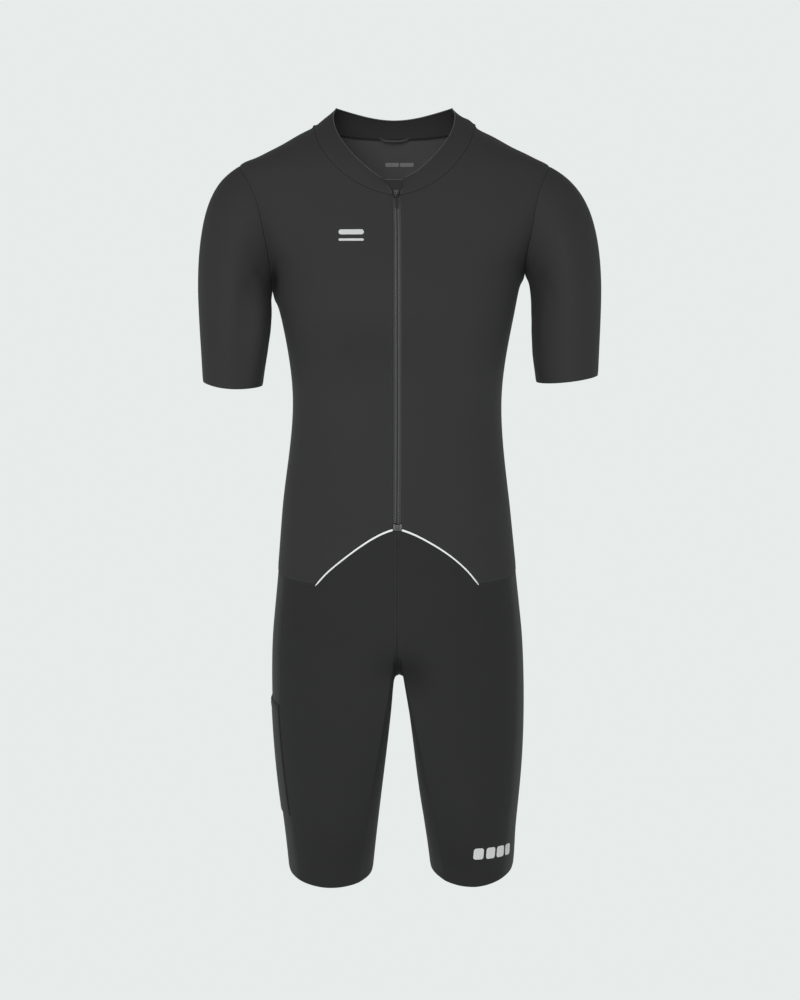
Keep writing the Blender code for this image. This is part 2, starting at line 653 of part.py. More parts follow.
def add_zip(cloth, normals, front, band):
    """Both tapes, the chain, the end box, the slider with its pull tab, and the guard behind the opening."""
    beside_zip = front[: JERSEY_ROWS + ZIP_ROWS + 1] + band[1:]
    edge = [row[0] for row in beside_zip]
    beside = [row[1] for row in beside_zip]
    out = [normals[cloth.point(point), "body"][0] for point in edge]

    def tape_section(k, share=0.0):
        a, b, n = edge[k], beside[k], out[k]
        if share:
            a, b, n = (x + (y - x) * share for x, y in ((a, edge[k + 1]), (b, beside[k + 1]), (n, out[k + 1])))
        inward = (a - b) / np.linalg.norm(a - b)
        near, far = a + inward * TAPE_NEAR, a - inward * TAPE_FAR
        top, bottom = TAPE_DEPTH, TAPE_DEPTH + TAPE
        return [near - n * top, far - n * top, far - n * bottom, near - n * bottom]

    sections = [tape_section(0, 0.06)] + [tape_section(k) for k in range(1, len(edge))]
    add_loft("zip_tape_left", sections, "zip_tape")
    add_loft("zip_tape_right", [[p * (-1, 1, 1) for p in s] for s in sections], "zip_tape")

    heights = np.array([point[2] for point in edge])
    depths = np.array([point[1] for point in edge])

    def line(z):
        """The zip's middle at z: (y, direction up, direction out)."""
        step = 0.5
        y = float(np.interp(z, heights, depths))
        low, high = np.interp((z - step, z + step), heights, depths)
        up = np.array([0.0, float(high - low), 2 * step])
        up = up / np.linalg.norm(up)
        return y, up, np.array([0.0, -up[2], up[1]])

    def bar(z, half, low, high):
        y, _, n = line(z)
        middle = np.array([0.0, y, z])
        return [middle + np.array([s * half, 0, 0]) + n * o for s, o in ((-1, low), (1, low), (1, high), (-1, high))]

    seam_z = neck_seam(neck_turn_at_zip())[0]
    rows = [z for z in heights if BOX_TOP + 2 < z < seam_z - 3]
    rows = [BOX_TOP + SEAM_GAP, *rows, seam_z - SLIDER_BELOW]
    add_loft("zip_chain", [bar(z, CHAIN_HALF, -3.3, -0.9) for z in rows], "zip_metal")
    add_loft("zip_bottom_box", [bar(z, BOX_HALF, -1.4, 0.9) for z in (BOX_LOW, BOX_TOP)], "zip_metal")

    y, up, n = line(seam_z - 10)
    half = SLIDER_LENGTH / 2
    middle = np.array([0.0, y, seam_z - 10]) + up * ((10 - SLIDER_BELOW) / up[2] + 0.8 + half)
    x = np.array([1.0, 0, 0])

    def place(px, pu, pn):
        return middle + x * px + up * pu + n * pn

    outline = (
        (-3.9, 1.0), (-3.9, -1.2), (-1.3, -1.2), (-1.3, -3.6), (-3.6, -3.6), (-3.6, -4.6),
        (3.6, -4.6), (3.6, -3.6), (1.3, -3.6), (1.3, -1.2), (3.9, -1.2), (3.9, 1.0),
    )
    body = add_loft("zip_slider", [[place(px, pu, pn) for px, pn in outline] for pu in (-half, half)], "zip_metal")
    arch = ((-3.6, 0.5), (-2.4, 4.4), (2.4, 4.4), (3.6, 0.5), (1.7, 0.5), (1.7, 3.4), (-1.7, 3.4), (-1.7, 0.5))
    bail = add_loft("bail", [[place(px, pu, pn) for pu, pn in arch] for px in (-0.8, 0.8)], "zip_metal")
    join = body.modifiers.new("Bail", "BOOLEAN")
    join.operation = "UNION"
    join.solver = "EXACT"
    join.object = bail
    bail.hide_render = True
    bail.display_type = "WIRE"

    axis = place(0, 0, TAB_AXIS)
    axis[0] = smooth(SWAY, 1, axis[2])
    tab_half, tab_wall = TAB_WIDTH / 2, TAB_THICK / 2
    rim = ((tab_half, 0.5), (-tab_half, 0.5), (-tab_half, -TAB_LENGTH), (tab_half, -TAB_LENGTH))
    hole = ((1.1, -0.5), (-1.1, -0.5), (-1.1, -4.7), (1.1, -4.7))
    points = [place(px, pu, TAB_AXIS + side * tab_wall) for side in (1, -1) for px, pu in rim + hole]
    faces = []
    for k in range(4):
        a, b = k, (k + 1) % 4
        faces += [[a, b, b + 4, a + 4], [b + 8, a + 8, a + 12, b + 12]]
        faces += [[b, a, a + 8, b + 8], [a + 4, b + 4, b + 12, a + 12]]
    tab = add_object("zip_pull_tab", points, faces, "zip_metal", origin=tuple(axis))
    tidy = bmesh.new()
    tidy.from_mesh(tab.data)
    bmesh.ops.recalc_face_normals(tidy, faces=tidy.faces)
    tidy.to_mesh(tab.data)
    tidy.free()

    rows = [GUARD_LOW, *[z for z in heights if GUARD_LOW + 3 < z < GUARD_TOP - 3], GUARD_TOP]
    sections = []
    for z in rows:
        y, _, n = line(z)
        front_side = [np.array([px, y, z]) - n * depth for px, depth in GUARD_ACROSS]
        back_side = [np.array([px, y, z]) - n * (depth + TAPE) for px, depth in GUARD_ACROSS]
        sections.append(front_side + back_side[::-1])
    add_loft("zip_guard", sections, "jersey_cloth")
    return axis


def add_piping(cloth, normals):
    """The reflective edging under the jersey's front arch, laid on the top of the shorts."""
    hips = Laid(cloth, normals, shorts_grids("left")["front"][1])
    corner = turn_at_x(ARCH_TOP - ARCH_DROP, ARCH_REACH)
    turns = [turn for turn in columns(ARCH_TOP) if turn <= corner + 2][1:]
    top, rows = HIP_ROWS, []
    sections = []
    for j in range(1, len(turns) + 1):
        height = np.linalg.norm(hips.at(top, j, 0) - hips.at(top - 1, j, 0))
        high, low = top - PIPING_GAP / height, top - (PIPING_GAP + PIPING) / height
        sections.append([hips.at(r, j, o) for r, o in ((high, -0.4), (low, -0.4), (low, 0.5), (high, 0.5))])
    add_loft("piping_left", sections, "reflective")
    add_loft("piping_right", [[p * (-1, 1, 1) for p in s] for s in sections], "reflective")


def add_pocket(cloth, normals):
    """The patch pocket on the wearer's right thigh, on the side panel."""
    legs = shorts_grids("right")["side"][0]
    laid = Laid(cloth, normals, mirrored(legs))
    last = len(legs[0]) - 1
    across = [POCKET_INSET, *range(1, last), last - POCKET_INSET]
    heights = [[laid.at(r, c, 0)[2] for r in range(len(legs))] for c in across]
    grid = []
    low_rows = [float(np.interp(POCKET_LOW, h, range(len(h)))) for h in heights]
    high_rows = [
        float(np.interp(POCKET_TOP - POCKET_SLANT * k / (len(across) - 1), h, range(len(h))))
        for k, h in enumerate(heights)
    ]
    inner = [r for r in range(len(legs)) if max(low_rows) + 0.1 < r < min(high_rows) - 0.1]
    for rows in zip(*[[low, *inner, high] for low, high in zip(low_rows, high_rows)]):
        grid.append([(row, column) for row, column in zip(rows, across)])
    add_patch("thigh_pocket", laid, grid, -SHORTS_SUNK + 0.35, -SHORTS_SUNK + 0.35 + 1.2, "mesh_cloth")


def add_patch(name, laid, grid, low, high, look):
    """A plate over fractional places of a laid grid, between two distances out from the body surface."""
    wide, tall = len(grid[0]), len(grid)
    places = [place for row in grid for place in row]
    points = [laid.at(*place, high) for place in places] + [laid.at(*place, low) for place in places]
    count = len(places)
    faces = []
    for i in range(tall - 1):
        for j in range(wide - 1):
            a = i * wide + j
            faces.append([a, a + 1, a + wide + 1, a + wide])
            faces.append([a + count + wide, a + count + wide + 1, a + count + 1, a + count])
    loop = [j for j in range(wide)] + [i * wide + wide - 1 for i in range(1, tall)]
    loop += [(tall - 1) * wide + j for j in range(wide - 2, -1, -1)] + [i * wide for i in range(tall - 2, 0, -1)]
    for a, b in zip(loop, loop[1:] + loop[:1]):
        faces.append([b, a, a + count, b + count])
    return add_object(name, points, faces, look)


def add_hanger(cloth, normals):
    """The loop of tape inside the back of the neck."""
    sections = []
    for k in range(HANGER_STEPS + 1):
        t = 2 * k / HANGER_STEPS - 1
        x = HANGER_HALF * t
        z = HANGER_TOP - HANGER_DROP * (1 - t**4)
        seam = neck_seam(180 - math.degrees(math.asin(abs(x) / NECK_SIDE[0])))
        y = torso(*seam)[1] - CLOTH - HANGER_CLEAR - HANGER_SAG * (1 - t * t)
        sections.append([(x, y, z), (x, y - 1.0, z), (x, y - 1.0, z - HANGER_TAPE), (x, y, z - HANGER_TAPE)])
    add_loft("hanger_loop", [[np.array(p) for p in s] for s in sections], "zip_tape")


def main():
    for obj in list(bpy.data.objects):
        bpy.data.objects.remove(obj, do_unlink=True)
    cloth = cut_suit()
    normals = cloth.normals()
    for side in ("left", "right"):
        add_panel(cloth, normals, f"jersey_front_{side}", "jersey_cloth")
        add_panel(cloth, normals, f"sleeve_{side}", "jersey_cloth")
        for part in ("front", "side", "back"):
            look = "mesh_cloth" if part == "side" else "shorts_cloth"
            add_panel(cloth, normals, f"shorts_{part}_{side}", look, SHORTS_SUNK)
    add_panel(cloth, normals, "jersey_back", "jersey_cloth")
    add_panel(cloth, normals, "collar", "collar_cloth")
    front, _, band = jersey_grids()
    add_zip(cloth, normals, front, band)
    add_piping(cloth, normals)
    add_pocket(cloth, normals)
    add_hanger(cloth, normals)


main()
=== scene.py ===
# %% [markdown]
# # A cycling skinsuit
#
# The suit is one close-fitting garment: a short-sleeved jersey with a full-length zip, sewn at the
# waist to a pair of shorts. Here it is dressed piece by piece over its plain solid parts. Each panel
# becomes a thin shell of knitted cloth, and what a maker would sew onto it (zip, edging, pocket,
# stitches) is laid on the shells.

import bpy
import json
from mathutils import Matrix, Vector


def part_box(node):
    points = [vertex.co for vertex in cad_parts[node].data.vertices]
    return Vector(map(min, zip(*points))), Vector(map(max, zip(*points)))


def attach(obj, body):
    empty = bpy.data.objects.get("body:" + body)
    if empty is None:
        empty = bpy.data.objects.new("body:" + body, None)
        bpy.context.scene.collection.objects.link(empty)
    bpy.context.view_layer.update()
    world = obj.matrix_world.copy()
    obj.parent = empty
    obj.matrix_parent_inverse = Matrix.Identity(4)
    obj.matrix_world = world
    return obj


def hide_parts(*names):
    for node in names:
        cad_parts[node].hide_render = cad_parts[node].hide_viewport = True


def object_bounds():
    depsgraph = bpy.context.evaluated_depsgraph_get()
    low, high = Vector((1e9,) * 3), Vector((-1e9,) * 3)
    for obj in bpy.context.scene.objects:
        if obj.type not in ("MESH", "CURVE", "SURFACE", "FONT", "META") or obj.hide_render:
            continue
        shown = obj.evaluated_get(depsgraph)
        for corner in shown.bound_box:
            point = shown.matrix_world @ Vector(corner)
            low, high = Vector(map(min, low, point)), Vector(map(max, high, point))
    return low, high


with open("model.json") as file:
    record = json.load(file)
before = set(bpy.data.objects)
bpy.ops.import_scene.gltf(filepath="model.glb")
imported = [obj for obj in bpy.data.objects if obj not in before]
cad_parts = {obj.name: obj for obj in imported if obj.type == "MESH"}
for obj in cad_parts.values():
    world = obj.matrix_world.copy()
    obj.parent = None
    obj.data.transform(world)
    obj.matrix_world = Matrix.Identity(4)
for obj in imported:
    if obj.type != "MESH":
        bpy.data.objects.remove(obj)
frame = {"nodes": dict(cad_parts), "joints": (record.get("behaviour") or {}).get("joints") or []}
solid_box = [list(corner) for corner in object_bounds()]
print("solid box, metres:", solid_box)

# %% [markdown]
# ## Tools
#
# A few helpers keep the later cells short. Operators act on whatever is selected, and the solid parts
# arrive selected, so every step begins by picking exactly one object.

# %% Picking, editing and measuring
import json
import math

import bmesh
import bpy
import numpy as np
from mathutils import Vector
from mathutils.bvhtree import BVHTree
from mathutils.kdtree import KDTree

MM = 0.001
scene = bpy.context.scene


def pick(obj):
    """Makes one object the only selected one."""
    if bpy.context.mode != "OBJECT":
        end_edit()
    bpy.ops.object.select_all(action="DESELECT")
    obj.select_set(True)
    bpy.context.view_layer.objects.active = obj


def places_of(obj):
    """The object's points as an array."""
    points = np.empty(len(obj.data.vertices) * 3)
    obj.data.vertices.foreach_get("co", points)
    return points.reshape(-1, 3)


def move_points(obj, points):
    obj.data.vertices.foreach_set("co", np.asarray(points, float).ravel())
    obj.data.update()


def facings_of(obj):
    """The direction that each point's surface faces."""
    normals = np.empty(len(obj.data.vertices) * 3)
    obj.data.vertices.foreach_get("normal", normals)
    return normals.reshape(-1, 3)


def new_mesh(name, points, faces):
    mesh = bpy.data.meshes.new(name)
    mesh.from_pydata([tuple(p) for p in points], [], [tuple(f) for f in faces])
    mesh.update()
    obj = bpy.data.objects.new(name, mesh)
    scene.collection.objects.link(obj)
    return obj


def edit(obj):
    """Opens one object in edit mode, with all of it selected."""
    pick(obj)
    bpy.ops.object.mode_set(mode="EDIT")
    bpy.ops.mesh.select_all(action="SELECT")


def end_edit():
    bpy.ops.object.mode_set(mode="OBJECT")


def unit_rows(rows):
    """Each row of an array scaled to a length of one."""
    return rows / np.maximum(np.linalg.norm(rows, axis=1), 1e-9)[:, None]


def modify(obj, kind, **settings):
    """Adds a modifier with these settings and applies it."""
    pick(obj)
    modifier = obj.modifiers.new(kind.lower(), kind)
    for key, value in settings.items():
        setattr(modifier, key, value)
    bpy.ops.object.modifier_apply(modifier=modifier.name)


def shade(obj, angle=50):
    pick(obj)
    bpy.ops.object.shade_smooth_by_angle(angle=math.radians(angle))


def triangles(obj):
    return sum(len(face.vertices) - 2 for face in obj.data.polygons)


# %% [markdown]
# ## Camera and light
#
# A garment like this is shot hollow, on a plain pale ground, under light so soft that it casts no
# shadow. The camera stands level with the chest, three metres away, tilted down by a small angle. The
# lens is long, so that the suit keeps its proportions.

# %% Camera
CAMERA_PLACE = (0.0034, -3.0, -0.230)
CAMERA_TILT = 2.53  # degrees down from level
LENS = 81.0

lens_and_body = bpy.data.cameras.new("camera")
camera = bpy.data.objects.new("camera", lens_and_body)
scene.collection.objects.link(camera)
camera.location = CAMERA_PLACE
camera.rotation_euler = (math.radians(90 - CAMERA_TILT), 0, 0)
lens_and_body.sensor_width = 36
lens_and_body.lens = LENS
lens_and_body.shift_y = -0.1
scene.camera = camera
scene.view_settings.view_transform = "Standard"
print("camera at", tuple(round(c, 4) for c in camera.location))

# %% [markdown]
# The ground and the backdrop are the same pale tone. The world lights the suit evenly from all round,
# a little less from above, as a studio with a dark ceiling does, and one large soft lamp in front
# gives the cloth its gentle modelling.

# %% Light
PALE = (0.799, 0.839, 0.823)

world = bpy.data.worlds.new("studio")
scene.world = world
world.use_nodes = True
nodes, links = world.node_tree.nodes, world.node_tree.links
nodes.clear()
sky = nodes.new("ShaderNodeOutputWorld")
seen = nodes.new("ShaderNodeBackground")
seen.inputs["Color"].default_value = (*PALE, 1)
around = nodes.new("ShaderNodeBackground")
around.inputs["Color"].default_value = (0.82, 0.82, 0.82, 1)
direction = nodes.new("ShaderNodeTexCoord")
split = nodes.new("ShaderNodeSeparateXYZ")
height = nodes.new("ShaderNodeMapRange")
for label, value in (("From Min", -0.3), ("From Max", 1.0), ("To Min", 0.62), ("To Max", 0.30)):
    height.inputs[label].default_value = value
mix = nodes.new("ShaderNodeMixShader")
ray = nodes.new("ShaderNodeLightPath")
links.new(direction.outputs["Generated"], split.inputs["Vector"])
links.new(split.outputs["Z"], height.inputs["Value"])
links.new(height.outputs["Result"], around.inputs["Strength"])
links.new(ray.outputs["Is Camera Ray"], mix.inputs["Fac"])
links.new(around.outputs["Background"], mix.inputs[1])
links.new(seen.outputs["Background"], mix.inputs[2])
links.new(mix.outputs["Shader"], sky.inputs["Surface"])


def soft_lamp(name, place, size, power, aim):
    data = bpy.data.lights.new(name, "AREA")
    data.shape = "DISK"
    data.size = size
    data.energy = power
    lamp = bpy.data.objects.new(name, data)
    scene.collection.objects.link(lamp)
    lamp.location = place
    toward = Vector(aim) - Vector(place)
    lamp.rotation_euler = toward.to_track_quat("-Z", "Y").to_euler()


soft_lamp("front_softbox", (-0.5, -3.4, 0.9), 2.6, 62, (0, 0, -0.45))
print("world and one softbox")

# %% [markdown]
# The floor is a plain sheet of the same tone as the backdrop, just under the leg hems. The suit seems
# to float over it, as a hollow garment does when it is shown with nobody in it.

# %% Floor
bpy.ops.object.select_all(action="DESELECT")
bpy.ops.mesh.primitive_plane_add(size=60, location=(0, 0, solid_box[0][2] - 0.06))
floor = bpy.context.object
floor.name = "floor"
pale = bpy.data.materials.new("pale_floor")
pale.use_nodes = True
nodes, links = pale.node_tree.nodes, pale.node_tree.links
nodes.clear()
glow = nodes.new("ShaderNodeEmission")
glow.inputs["Color"].default_value = (*PALE, 1)
output = nodes.new("ShaderNodeOutputMaterial")
links.new(glow.outputs["Emission"], output.inputs["Surface"])
floor.data.materials.append(pale)

# %% [markdown]
# ## Finishes
#
# Everything is black, and what tells the pieces apart is how each takes the light. The knit's loops
# are half a millimetre across, so they show as a soft sheen and a fine grain rather than as a
# pattern. One node group makes the knit for every cloth, with its own size and depth in each: ribs
# up the cloth, rows across, and a slow mottle that keeps a large panel from looking flat.

# %% Node helper
def group_of(name, inputs, outputs):
    """An empty node group with named number inputs and outputs."""
    group = bpy.data.node_groups.new(name, "ShaderNodeTree")
    for label, value in inputs.items():
        socket = group.interface.new_socket(label, in_out="INPUT", socket_type="NodeSocketFloat")
        socket.default_value = value
    for label, kind in outputs.items():
        group.interface.new_socket(label, in_out="OUTPUT", socket_type=kind)
    start = group.nodes.new("NodeGroupInput")
    end = group.nodes.new("NodeGroupOutput")
    return group, start, end


class Wiring:
    """Short words for making nodes in a tree."""

    def __init__(self, tree):
        self.tree = tree

    def node(self, kind, **settings):
        made = self.tree.nodes.new(kind)
        for key, value in settings.items():
            setattr(made, key, value)
        return made

    def link(self, source, target):
        self.tree.links.new(source, target)

    def math(self, operation, a, b=None, c=None):
        made = self.node("ShaderNodeMath", operation=operation)
        for k, value in enumerate((a, b, c)):
            if value is None:
                continue
            if isinstance(value, (int, float)):
                made.inputs[k].default_value = value
            else:
                self.link(value, made.inputs[k])
        return made.outputs[0]

    def wave(self, value, pitch, offset=0.0):
        """A smooth wave from 0 to 1 that repeats after each pitch."""
        turns = self.math("DIVIDE", value, pitch)
        angle = self.math("MULTIPLY_ADD", turns, 2 * math.pi, offset)
        return self.math("MULTIPLY_ADD", self.math("SINE", angle), 0.5, 0.5)

    def noise(self, where, scale, detail=2.0, rough=0.5):
        made = self.node("ShaderNodeTexNoise")
        made.inputs["Scale"].default_value = scale
        made.inputs["Detail"].default_value = detail
        made.inputs["Roughness"].default_value = rough
        self.link(where, made.inputs["Vector"])
        return made.outputs["Fac"]

    def ramp(self, value, low, high, out_low, out_high):
        made = self.node("ShaderNodeMapRange", clamp=True)
        ends = {"From Min": low, "From Max": high, "To Min": out_low, "To Max": out_high}
        for label, number in ends.items():
            made.inputs[label].default_value = number
        self.link(value, made.inputs["Value"])
        return made.outputs["Result"]


# %% Knit group
knit, start, end = group_of(
    "knit",
    {"Rib Pitch": 0.0005, "Row Pitch": 0.0004, "Mottle": 0.06},
    {"Height": "NodeSocketFloat", "Tone": "NodeSocketFloat"},
)
w = Wiring(knit)
cloth_map = w.node("ShaderNodeUVMap", uv_map="cloth")
halves = w.node("ShaderNodeSeparateXYZ")
w.link(cloth_map.outputs["UV"], halves.inputs["Vector"])
ribs = w.wave(halves.outputs["X"], start.outputs["Rib Pitch"])
sway = w.math("MULTIPLY_ADD", ribs, 0.00012, halves.outputs["Y"])
rows = w.wave(sway, start.outputs["Row Pitch"])
loops = w.math("MULTIPLY_ADD", rows, 0.45, ribs)
w.link(loops, end.inputs["Height"])
inside = w.node("ShaderNodeTexCoord")
slow = w.noise(inside.outputs["Object"], 14, detail=3)
fine = w.noise(inside.outputs["Object"], 420, detail=2, rough=0.7)
both = w.math("MULTIPLY_ADD", fine, 0.5, slow)
shift = w.math("MULTIPLY", w.math("SUBTRACT", both, 0.75), start.outputs["Mottle"])
loop_tone = w.math("MULTIPLY", w.math("SUBTRACT", loops, 0.72), 0.05)
w.link(w.math("ADD", w.math("ADD", shift, loop_tone), 1.0), end.inputs["Tone"])
print("group", knit.name, "with", len(knit.nodes), "nodes")

# %% [markdown]
# Each cloth is the same recipe with its own numbers: the colour, how rough it is, how fine the knit,
# and how much sheen its fibre ends give at a glancing angle. Along a seam the cloth is pressed and
# stitched, which a second map, the distance from the panel's edge, shows as a faint line. A third map
# paints shade into the colour: painted shade at the armpits, the crotch, the hems and below the chest,
# and painted light that makes the inner sleeves paler where the body shades them.

# %% Cloth material
def new_material(name, specular):
    """A material, the wiring of its tree, and its shader."""
    made = bpy.data.materials.new(name)
    made.use_nodes = True
    shader = made.node_tree.nodes["Principled BSDF"]
    shader.inputs["Specular IOR Level"].default_value = specular
    return made, Wiring(made.node_tree), shader


def finish(w, shader, colour, tone, rough, relief, depth):
    """Wires a colour times a tone, a roughness, and a relief so many metres deep into a shader."""
    paint = w.node("ShaderNodeMix", data_type="RGBA", blend_type="MULTIPLY")
    paint.inputs["Factor"].default_value = 1.0
    paint.inputs["A"].default_value = (*colour, 1)
    w.link(tone, paint.inputs["B"])
    w.link(paint.outputs["Result"], shader.inputs["Base Color"])
    w.link(rough, shader.inputs["Roughness"])
    bump = w.node("ShaderNodeBump")
    bump.inputs["Distance"].default_value = depth
    w.link(relief, bump.inputs["Height"])
    w.link(bump.outputs["Normal"], shader.inputs["Normal"])


PRESSED_TONE = 0.88  # of the cloth's own, in the line pressed along a seam
# Painted shade and light: the ends of the third map, from the palest painted light to the deepest
# painted shade.
PAINTED_SHADE_MOST, PAINTED_LIGHT_MOST = 1.9, -1.0  # the ends of the hollow map


def cloth_material(name, colour, rough, rib, row, depth, mottle, sheen, specular):
    made, w, shader = new_material(name, specular)
    cloth = w.node("ShaderNodeGroup")
    cloth.node_tree = knit
    cloth.inputs["Rib Pitch"].default_value = rib
    cloth.inputs["Row Pitch"].default_value = row
    cloth.inputs["Mottle"].default_value = mottle
    edge = w.node("ShaderNodeAttribute", attribute_name="edge_distance")
    pressed = w.ramp(edge.outputs["Fac"], 0.0002, 0.0011, PRESSED_TONE, 1.0)
    # Painted shade and light: the third map darkens the colour at the armpits, crotch and hems, and
    # paints the inner sleeves paler.
    painted_shade = w.node("ShaderNodeAttribute", attribute_name="painted_shade")
    kept = w.ramp(painted_shade.outputs["Fac"], PAINTED_LIGHT_MOST, PAINTED_SHADE_MOST, 1.5, 0.05)
    tone = w.math("MULTIPLY", w.math("MULTIPLY", cloth.outputs["Tone"], pressed), kept)
    height = cloth.outputs["Height"]
    duller = w.ramp(height, 0.0, 1.45, rough + 0.06, rough - 0.04)
    finish(w, shader, colour, tone, duller, height, depth)
    shader.inputs["Sheen Weight"].default_value = sheen
    shader.inputs["Sheen Roughness"].default_value = 0.45
    shader.inputs["Sheen Tint"].default_value = (1.0, 1.0, 1.0, 1)
    return made


KNITS = (
    # name, colour, roughness, rib and row pitch and depth in mm, mottle, sheen, specular
    ("jersey_knit", (0.0340, 0.0338, 0.0336), 0.74, 0.50, 0.42, 0.02, 0.10, 0.03, 0.12),
    # Painted light: the jersey's inside faces take a much paler copy of its knit, which lifts the shade
    # inside the garment where the neck and cuffs show it.
    ("jersey_reverse", (0.1150, 0.1145, 0.1140), 0.80, 0.64, 0.50, 0.03, 0.12, 0.03, 0.10),
    ("shorts_knit", (0.0228, 0.0227, 0.0227), 0.70, 0.42, 0.36, 0.02, 0.10, 0.03, 0.14),
    ("side_knit", (0.0320, 0.0324, 0.0322), 0.72, 0.85, 0.80, 0.04, 0.12, 0.05, 0.14),
    ("collar_knit", (0.0340, 0.0338, 0.0336), 0.76, 0.70, 0.45, 0.03, 0.08, 0.03, 0.10),
)
jersey_knit, jersey_reverse, shorts_knit, side_knit, collar_knit = (
    cloth_material(name, colour, rough, rib * MM, row * MM, depth * MM, mottle, sheen, specular)
    for name, colour, rough, rib, row, depth, mottle, sheen, specular in KNITS
)
print(len(KNITS), "knits")

# %% [markdown]
# The small parts have finishes of their own: woven tape, black thread, moulded teeth, the metals of
# the slider and its box, dark lacquer, pale reflective film, and ink. All but the tape share one
# grain, which is a node group too. It is coarse on metal and as fine as glass beads on the film.

# %% Grain group
grain, start, end = group_of("grain", {"Scale": 300.0}, {"Speck": "NodeSocketFloat"})
w = Wiring(grain)
inside = w.node("ShaderNodeTexCoord")
speck = w.noise(inside.outputs["Object"], 300, detail=3, rough=0.6)
w.link(start.outputs["Scale"], speck.node.inputs["Scale"])
w.link(speck, end.inputs["Speck"])
print("group", grain.name, "with", len(grain.nodes), "nodes")

# %% Trim materials
GRAIN_DEPTH = 0.01 * MM


def trim_material(name, colour, rough, specular, metal=0.0, scale=900.0, spread=0.12):
    """A plain finish whose grain varies its tone by a share, its roughness and its height."""
    made, w, shader = new_material(name, specular)
    group = w.node("ShaderNodeGroup")
    group.node_tree = grain
    group.inputs["Scale"].default_value = scale
    speck = group.outputs["Speck"]
    tone = w.ramp(speck, 0.3, 0.7, 1 - spread, 1 + spread)
    duller = w.ramp(speck, 0.3, 0.7, rough - 0.05, rough + 0.06)
    finish(w, shader, colour, tone, duller, speck, GRAIN_DEPTH)
    shader.inputs["Metallic"].default_value = metal
    return made


def woven_material(name, colour, pitch, depth, specular=0.2):
    """A plain weave on the piece's own coordinates: warp up the tape, weft across it."""
    made, w, shader = new_material(name, specular)
    inside = w.node("ShaderNodeTexCoord")
    halves = w.node("ShaderNodeSeparateXYZ")
    w.link(inside.outputs["Object"], halves.inputs["Vector"])
    warp = w.wave(halves.outputs["X"], pitch)
    weft = w.wave(halves.outputs["Z"], pitch * 0.8)
    warp_gap, weft_gap = (w.math("SUBTRACT", 1.0, part) for part in (warp, weft))
    over = w.math("MAXIMUM", w.math("MULTIPLY", warp, weft), w.math("MULTIPLY", warp_gap, weft_gap))
    tone = w.ramp(over, 0.0, 0.8, 0.86, 1.1)
    finish(w, shader, colour, tone, w.ramp(over, 0.0, 0.8, 0.72, 0.6), over, depth)
    return made


thread = trim_material("black_thread", (0.052, 0.054, 0.053), 0.55, 0.3)
seam_thread = trim_material("seam_thread", (0.030, 0.030, 0.030), 0.7, 0.15)
# Painted highlight: the rolled edges' thread is paler than the black cloth, to draw a light line along
# them.
rolled_edge_highlight = trim_material("rolled_edge_highlight", (0.085, 0.088, 0.086), 0.6, 0.3)
tape_weave = woven_material("tape_weave", (0.058, 0.060, 0.059), 0.9 * MM, 0.03 * MM)
tooth_plastic = trim_material("tooth_plastic", (0.135, 0.137, 0.136), 0.42, 0.4, scale=700)
lacquer = trim_material("dark_lacquer", (0.015, 0.015, 0.0155), 0.55, 0.25, scale=500, spread=0.2)
METALS = (
    # name, tone, roughness, specular, metal, spread
    ("slider_metal", (0.075, 0.075, 0.076), 0.45, 0.4, 0.2, 0.15),
    ("worn_metal", (0.12, 0.12, 0.12), 0.40, 0.5, 0.4, 0.2),
    ("box_metal", (0.115, 0.115, 0.115), 0.45, 0.4, 0.5, 0.15),
)
slider_metal, worn_metal, box_metal = (
    trim_material(name, colour, rough, specular, metal=metal, scale=600, spread=spread)
    for name, colour, rough, specular, metal, spread in METALS
)
film = trim_material("reflective_film", (0.86, 0.875, 0.87), 0.38, 0.5, scale=1500, spread=0.05)
white_ink = trim_material("white_ink", (0.62, 0.63, 0.63), 0.6, 0.3, spread=0.06)
grey_ink = trim_material("grey_ink", (0.30, 0.30, 0.30), 0.7, 0.3, spread=0.08)
print("twelve trims")

# %% [markdown]
# ## The panels
#
# A sewn suit could be modelled as one closed skin with painted seams. Here each cut piece stays its
# own object, because that is how the garment is made. The outer face of each solid panel is taken as
# a clean grid, neighbours are joined along their seams, and the joined cloth is subdivided as a
# whole. So the surface runs smoothly across a seam, and is only cut apart into panels afterwards.

# %% Outer face of a panel
WALL = 2.4 * MM  # every edge across a panel's wall is shorter than this
SQUARE_ON = 0.6  # how squarely such an edge meets the broad faces beside it


def solid_copy(node, name):
    """A copy of a solid part with its loose triangles merged."""
    copy = bpy.data.objects.new(name, frame["nodes"][node].data.copy())
    copy.data.name = name
    scene.collection.objects.link(copy)
    edit(copy)
    bpy.ops.mesh.remove_doubles(threshold=0.01 * MM)
    end_edit()
    return copy


def across_wall(edge, short):
    """Whether a short edge runs through the wall: along the facing of the broad faces beside it."""
    along = (edge.verts[1].co - edge.verts[0].co).normalized()
    beside = {face for vertex in edge.verts for face in vertex.link_faces}
    broad = [face for face in beside if not any(other in short for other in face.edges)]
    return not broad or np.mean([abs(face.normal.dot(along)) for face in broad]) > SQUARE_ON


